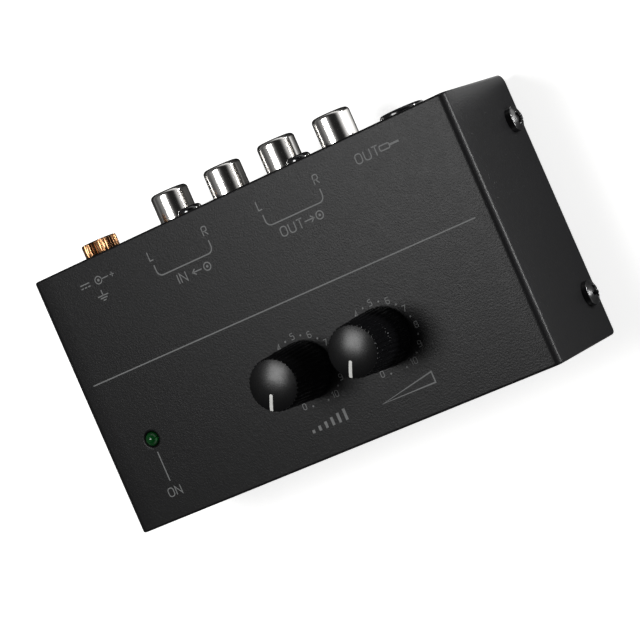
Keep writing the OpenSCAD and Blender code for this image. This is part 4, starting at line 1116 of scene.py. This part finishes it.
def inkRing(x, y, radius, stroke):
    # a ribbon along the circle x + r cos a, y + r sin a
    t = np.radians(np.linspace(0, 360, 28, endpoint=False))
    return inkRibbon(np.stack([x + radius * np.cos(t), y + radius * np.sin(t)], -1), stroke, True)


# each sign is a list of (corners, corner radius, closed) in units of the letter's height
narrow, broad = ink["narrow"], ink["broad"]
signs = {
    "0": [([(0, 0), (narrow, 0), (narrow, 1), (0, 1)], 0.24, True)],
    "1": [([(0.08, 0.76), (0.34, 1), (0.34, 0)], 0, False)],
    "2": [([(0, 0.74), (0, 1), (narrow, 1), (narrow, 0.52), (0, 0), (narrow, 0)], 0.2, False)],
    "3": [([(0, 1), (narrow, 1), (narrow, 0.52), (0.14, 0.52)], 0.2, False),
          ([(0.3, 0.52), (narrow, 0.52), (narrow, 0), (0, 0)], 0.2, False)],
    "4": [([(0.42, 0), (0.42, 1), (0, 0.28), (narrow, 0.28)], 0, False)],
    "5": [([(narrow, 1), (0.03, 1), (0.03, 0.58), (narrow, 0.58), (narrow, 0), (0, 0)], 0.14, False)],
    "6": [([(narrow, 1), (0, 1), (0, 0), (narrow, 0), (narrow, 0.55), (0.04, 0.55)], 0.2, False)],
    "7": [([(0, 1), (narrow, 1), (0.2, 0)], 0, False)],
    "8": [([(0, 0), (narrow, 0), (narrow, 0.52), (0, 0.52)], 0.18, True),
          ([(0.13, 0.53), (0.03, 0.66), (0.03, 1), (narrow - 0.03, 1), (narrow - 0.03, 0.66),
            (narrow - 0.13, 0.53)], 0.15, False)],
    "9": [([(0, 0), (narrow, 0), (narrow, 1), (0, 1), (0, 0.45), (narrow - 0.04, 0.45)], 0.2, False)],
    "I": [([(0.06, 0), (0.06, 1)], 0, False)],
    "L": [([(0, 1), (0, 0), (0.46, 0)], 0, False)],
    "N": [([(0, 0), (0, 1), (broad, 0), (broad, 1)], 0, False)],
    "O": [([(0, 0), (broad, 0), (broad, 1), (0, 1)], 0.3, True)],
    "R": [([(0, 0), (0, 1), (narrow, 1), (narrow, 0.46), (0, 0.46)], 0.2, False),
          ([(0.26, 0.46), (narrow, 0)], 0, False)],
    "T": [([(0, 1), (0.68, 1)], 0, False), ([(0.34, 1), (0.34, 0)], 0, False)],
    "U": [([(0, 1), (0, 0), (broad, 0), (broad, 1)], 0.28, False)],
}


def signWidth(letter):
    # the furthest corner of a sign, as a share of its height
    return max(x for corners, _, _ in signs[letter] for x, _ in corners)


def writeLine(words, x, y, height):
    # words as ribbons of ink with the middle of the line at x and its foot at y
    total = sum(signWidth(letter) for letter in words) + ink["space"] * (len(words) - 1)
    pen = x - total * height / 2
    parts = []
    for letter in words:
        for corners, radius, closed in signs[letter]:
            line = roundCorners(corners, radius, closed) * height + np.array([pen, y])
            parts.append(inkRibbon(line, ink["weight"] * height, closed))
        pen += (signWidth(letter) + ink["space"]) * height
    return parts


dialMarks = {
    "numberRadius": 7.55,
    "dotRadius": 7.35,
    "numberHeight": 1.26,
    "dot": 0.2,
    "sweep": 150,  # degrees to each side of the back
    "shift": -0.25,  # the printed scales sit a little in front of the shafts
}


def dialScale(node):
    # numbers 0 to 10 round a dial, upright, with a dot between each two and one past each end; a place
    # at the angle a from the back is x + r sin a, y + r cos a
    x, y, _ = middleOf(node)
    y += dialMarks["shift"]
    start, turn, h = -dialMarks["sweep"], dialMarks["sweep"] / 5, dialMarks["numberHeight"]
    parts = []
    for n in range(11):
        a, r = math.radians(start + n * turn), dialMarks["numberRadius"]
        parts += writeLine(str(n), x + r * math.sin(a), y + r * math.cos(a) - h / 2, h)
    for n in range(12):
        a, r = math.radians(start + (n - 0.5) * turn), dialMarks["dotRadius"]
        parts.append(inkDot(x + r * math.sin(a), y + r * math.cos(a), dialMarks["dot"]))
    return parts


# the marks over the phono sockets, in mm from the middle of the top
socketMarks = {
    "divider": (-48.2, 3.9, 47.75, 3.9, 0.26),
    "bracket": (7.08, 19.1, 21.66, 1.3, 0.26),  # half width, foot, top, corner radius and stroke
    "wordFoot": 15.95,
    "wordHeight": 1.95,
    "channelFoot": 22.75,
    "channelHeight": 1.9,
    "arrow": (2.3, 0.75, 0.62, 0.24),  # length, the head's length and half width, and stroke
    "socket": (0.82, 0.2788, 0.24),  # radius of the ring and of the dot, and stroke
}
# middle of a pair, its word, the arrow's way, and the places of word, arrow and socket from the middle
pairs = ((-15.88, "IN", -1, -2.1, 1.8, 4.4), (12.1, "OUT", 1, -2.1, 2.2, 4.75))


def arrowMark(x, y, way):
    # an arrow along x; way is 1 to the right and -1 to the left; the shaft ends just inside the tip
    length, back, half, stroke = socketMarks["arrow"]
    tip = x + way * length / 2
    return [inkRibbon([(x - way * length / 2, y), (tip - way * 0.1, y)], stroke),
            inkRibbon([(tip - way * back, y + half), (tip, y), (tip - way * back, y - half)], stroke)]


def pairMarks(x, word, way, wordX, arrowX, socketX):
    # a bracket over two sockets, the word with an arrow and a socket's sign in front, and L and R
    half, low, top, corner, stroke = socketMarks["bracket"]
    low, top = middleY + low, middleY + top
    bracket = roundCorners([(x - half, top), (x - half, low), (x + half, low), (x + half, top)], corner,
                           steps=8)
    wordY, height = middleY + socketMarks["wordFoot"], socketMarks["wordHeight"]
    ring, dot, fine = socketMarks["socket"]
    parts = [inkRibbon(bracket, stroke), *writeLine(word, x + wordX, wordY, height),
             *arrowMark(x + arrowX, wordY + height / 2, way),
             inkRing(x + socketX, wordY + height / 2, ring, fine),
             inkDot(x + socketX, wordY + height / 2, dot)]
    for side, channel in ((-1, "L"), (1, "R")):
        parts += writeLine(channel, x + side * half, middleY + socketMarks["channelFoot"],
                           socketMarks["channelHeight"])
    return parts


# the signs at the inlets: each one's place from the middle of the top, and its parts from there
phoneSign = {
    "place": (34.35, 22.8),
    "wordX": -2.6,
    "plug": ((0.4, 0.45), (2.7, 0.45), (2.7, 1.5), (0.4, 1.5)),
    "corner": 0.3,
    "stroke": 0.24,
    "pin": (2.8, 0.975, 4.9, 0.975, 0.42),
}
powerSign = {
    "place": (-37.1, 23.7),
    "lines": ((-4.3, 0.34, -1.9, 0.34, 0.24), (-4.3, -0.38, -3.7, -0.38, 0.24),
              (-3.4, -0.38, -2.8, -0.38, 0.24), (-2.5, -0.38, -1.9, -0.38, 0.24),
              (1.2, 0, 3.0, 0, 0.22), (3.5, 0, 4.5, 0, 0.22), (4.0, -0.5, 4.0, 0.5, 0.22)),
    "ring": (0.4, 0.8, 0.22, 0.3),  # place, radius, stroke, and the dot's radius
}
earthSign = {
    "place": (-37.1, 20.5),
    "lines": ((0, 1.1, 0, -0.1, 0.24), (-1.35, -0.1, 1.35, -0.1, 0.24), (-0.9, -0.6, 0.9, -0.6, 0.24),
              (-0.4, -1.1, 0.4, -1.1, 0.24)),
}


def inletSigns():
    # the phone plug with its word, the supply mark and the ground mark
    x, y = phoneSign["place"][0], middleY + phoneSign["place"][1]
    plug = roundCorners(np.array(phoneSign["plug"]) + np.array([x, y]), phoneSign["corner"], True)
    parts = writeLine("OUT", x + phoneSign["wordX"], y, socketMarks["wordHeight"])
    parts += [inkRibbon(plug, phoneSign["stroke"], True), *inkLines(x, y, [phoneSign["pin"]])]
    x, y = powerSign["place"][0], middleY + powerSign["place"][1]
    across, radius, stroke, dot = powerSign["ring"]
    parts += [*inkLines(x, y, powerSign["lines"]), inkRing(x + across, y, radius, stroke),
              inkDot(x + across, y, dot)]
    x, y = earthSign["place"][0], middleY + earthSign["place"][1]
    return parts + inkLines(x, y, earthSign["lines"])


# the marks at the lamp and between the dials, in mm from the middle of the top
frontMarks = {
    "lampLine": (-40.25, -14.0, -40.25, -20.6, 0.26),
    "lampWord": (-40.15, -23.8, 1.8),  # place and height
    "bars": (-4.1, 1.64, 0.7, 0.34, 0.62),  # the first, the step, the first's height, its growth, stroke
    "wedge": (13.0, 25.6, 0.2, 2.5, 0.3),  # both ends, foot, top, and stroke
    "foot": -22.9,  # of the bars and the wedge
}


def frontSigns():
    # a line and ON at the lamp; in the place of the two dials' words a row of growing bars and a wedge
    x, y, height = frontMarks["lampWord"]
    parts = [*inkLines(0, middleY, [frontMarks["lampLine"]]), *writeLine("ON", x, middleY + y, height)]
    first, step, low, growth, stroke = frontMarks["bars"]
    foot = middleY + frontMarks["foot"]
    parts += inkLines(first, foot, [(k * step, 0, k * step, low + k * growth, stroke) for k in range(6)])
    left, right, low, top, stroke = frontMarks["wedge"]
    wedge = [(left, foot + low), (right, foot + low), (right, foot + top)]
    return [*parts, inkRibbon(wedge, stroke, True)]


addMesh("dialNumbers", *joinParts(dialScale("level_knob") + dialScale("volume_knob")), printInk)
parts = inkLines(0, middleY, [socketMarks["divider"]])
for pair in pairs:
    parts += pairMarks(*pair)
addMesh("socketMarks", *joinParts(parts), printInk)
addMesh("inletMarks", *joinParts(inletSigns()), printInk)
addMesh("dialAndLampMarks", *joinParts(frontSigns()), printInk)
print("marks printed")


# the room: a pale floor, a plain surround, soft lamps and the camera

room = {
    "glow": 1.25,  # strength of the lit wall to the right, at the horizon
    "glowTop": 0.6,  # how high the wall's light reaches, as a share of the way to the top
    "glowFrom": (-0.4, 0.4),  # where it grows from left to right
    "glowLeft": 0.15,  # its share at the left
    "screen": 0.2,  # strength of the large soft screen behind the key lamp
    "screenWay": (-0.42, 0.1, 0.9),
    "screenEdge": (0.72, 0.93),  # from outside to inside, as direction . screenWay
    "dim": 0.012,  # strength of the surround where nothing is lit
}


def mathNode(tree, operation, first, second):
    # a sum, product or other operation of two values or sockets
    return addNode(tree, "ShaderNodeMath", {0: first, 1: second}, operation=operation).outputs[0]


def axesOf(tree, output):
    # x, y and z of a texture coordinate, and the coordinate itself
    way = addNode(tree, "ShaderNodeTexCoord", {}).outputs[output]
    return *addNode(tree, "ShaderNodeSeparateXYZ", {0: way}).outputs, way


def rays(tree):
    # 1 for rays from the camera or through clear pieces, and 1 for rays that polished surfaces send out
    path = addNode(tree, "ShaderNodeLightPath", {})
    seen = mathNode(tree, "MAXIMUM", path.outputs["Is Camera Ray"], path.outputs["Is Transmission Ray"])
    return seen, path.outputs["Is Glossy Ray"]


def makeSurround():
    # strength 1, white, where it is seen; the lighting has wall * side + screen + dim
    world = bpy.data.worlds.new("studio")
    bpy.context.scene.world = world
    world.use_nodes = True
    tree = world.node_tree
    x, _, z, way = axesOf(tree, "Generated")
    wall = mathNode(tree, "MULTIPLY", smoothStep(tree, z, (0, room["glowTop"]), room["glow"], 0),
                    smoothStep(tree, x, room["glowFrom"], room["glowLeft"], 1))
    facing = addNode(tree, "ShaderNodeVectorMath", {0: way, 1: room["screenWay"]},
                     operation="DOT_PRODUCT")
    screen = smoothStep(tree, facing.outputs["Value"], room["screenEdge"], 0, room["screen"])
    lit = mathNode(tree, "ADD", mathNode(tree, "ADD", wall, screen), room["dim"])
    seen, _ = rays(tree)
    unseen = mathNode(tree, "SUBTRACT", 1, seen)
    strength = mathNode(tree, "MAXIMUM", seen, mathNode(tree, "MULTIPLY", lit, unseen))
    feed(tree, tree.nodes["Background"], {"Color": (1, 1, 1, 1), "Strength": strength})


paper = {
    "rings": (1600, 400, 150, 60, 0),  # radii of the floor's rings
    "drop": 0.01,  # how far it lies under the feet
    "tone": "#d2d2d0",
    "seen": 0.79,  # light that the floor shows of itself to the camera, over what the lamps give it
    "dim": (0.7, 0.97),  # painted shade: how much darker its tone is in polished surfaces, in front and behind
    "dimFrom": (30, 36),  # y where the one goes over to the other
    "mirrored": 0.04,  # painted light that polished surfaces see on the floor to the right
    "mirroredFrom": (30, 60),
    "paintedCardGlow": 1.5,  # painted light on the floor that polished surfaces see behind and to the right, like a white card
    "paintedCardX": (15, 45),
    "paintedCardFront": (23, 27),
    "paintedCardBack": (33, 37),
}


def makeFloor():
    # a flat disc; polished surfaces see painted light on it, a glow(x) * glow(y) + floor(x), and a painted
    # darker tone, each a smooth step
    rings = np.array(paper["rings"])[:, None]
    points, faces = closeTurned(turnedSurface(rings, -paper["drop"], onceRound(96)))
    mesh = bpy.data.meshes.new("floor")
    mesh.from_pydata((points * mm).tolist(), [], faces)
    floor = addObject("floor", mesh)
    material, tree, shader = newMaterial("floor_paper")
    seen, mirrored = rays(tree)
    x, y, _, _ = axesOf(tree, "Object")

    def across(value, places, low, high):
        # a smooth step between two places in mm
        return smoothStep(tree, value, [place * mm for place in places], low, high)

    # painted light seen only in polished surfaces: a glowing patch behind and to the right of the case,
    # like a white card
    depth = mathNode(tree, "MULTIPLY", across(y, paper["paintedCardFront"], 0, 1),
                     across(y, paper["paintedCardBack"], 1, 0))
    paintedCardGlow = mathNode(tree, "MULTIPLY", across(x, paper["paintedCardX"], 0, paper["paintedCardGlow"]), depth)
    # painted light that polished surfaces see on the floor to the right
    right = across(x, paper["mirroredFrom"], 0, paper["mirrored"])
    lift = mathNode(tree, "ADD", mathNode(tree, "MULTIPLY", seen, paper["seen"]),
                    mathNode(tree, "MULTIPLY", mirrored, mathNode(tree, "ADD", right, paintedCardGlow)))
    # painted shade: in polished surfaces the floor's tone goes towards black by the shares in paper["dim"]
    paintedShadeInReflections = mathNode(tree, "MULTIPLY", mirrored, across(y, paper["dimFrom"], *paper["dim"]))
    feed(tree, shader, {"Base Color": blendColour(tree, paintedShadeInReflections, paper["tone"], "#000000"),
                        "Roughness": 0.9, "Emission Color": (1, 1, 1, 1), "Emission Strength": lift})
    mesh.materials.append(material)


# spot: place in mm; size: width and height in mm; power in watts
lamps = {
    "key": {"spot": (-121, 72, 470), "size": (175, 175), "power": 1.5},
    "strip": {"spot": (170, 12, 4), "size": (110, 9), "power": 0.3},
}


def makeLamps():
    # each lamp is a rectangle that faces the middle of the top
    aim = np.array([0, 0, topZ])
    for name, values in lamps.items():
        light = bpy.data.lights.new(name, "AREA")
        light.shape = "RECTANGLE"
        light.size, light.size_y = (size * mm for size in values["size"])
        light.energy = values["power"]
        holder = addObject(name, light)
        spot = np.array(values["spot"])
        holder.location = spot * mm
        holder.rotation_mode = "QUATERNION"
        holder.rotation_quaternion = Vector(spot - aim).to_track_quat("Z", "Y")


view = {
    "target": (7.41, -5.75, 33.6),  # where the middle of the image meets the top, in mm
    "distance": 570.9,
    "azimuth": 90.31,
    "elevation": 61.97,
    "roll": -113.87,
    "lens": 159.97,
}


def makeCamera():
    # looks at the target from target + distance * (sin a cos e, -cos a cos e, sin e), rolled by r
    camera = bpy.data.cameras.new("camera")
    camera.lens = view["lens"]
    camera.sensor_width = 36
    camera.clip_start = 0.01
    camera.clip_end = 20
    holder = addObject("camera", camera)
    a, e, r = (math.radians(view[k]) for k in ("azimuth", "elevation", "roll"))
    back = np.array([math.sin(a) * math.cos(e), -math.cos(a) * math.cos(e), math.sin(e)])
    right = np.array([math.cos(a), math.sin(a), 0.0])
    up = np.cross(back, right)
    right, up = right * math.cos(r) + up * math.sin(r), up * math.cos(r) - right * math.sin(r)
    spot = (np.array(view["target"]) + back * view["distance"]) * mm
    rows = np.column_stack([right, up, back, spot])
    holder.matrix_world = Matrix([*rows.tolist(), [0, 0, 0, 1]])
    bpy.context.scene.camera = holder


makeSurround()
makeFloor()
makeLamps()
makeCamera()
bpy.context.scene.view_settings.view_transform = "Standard"
print("room, lamps and camera set")
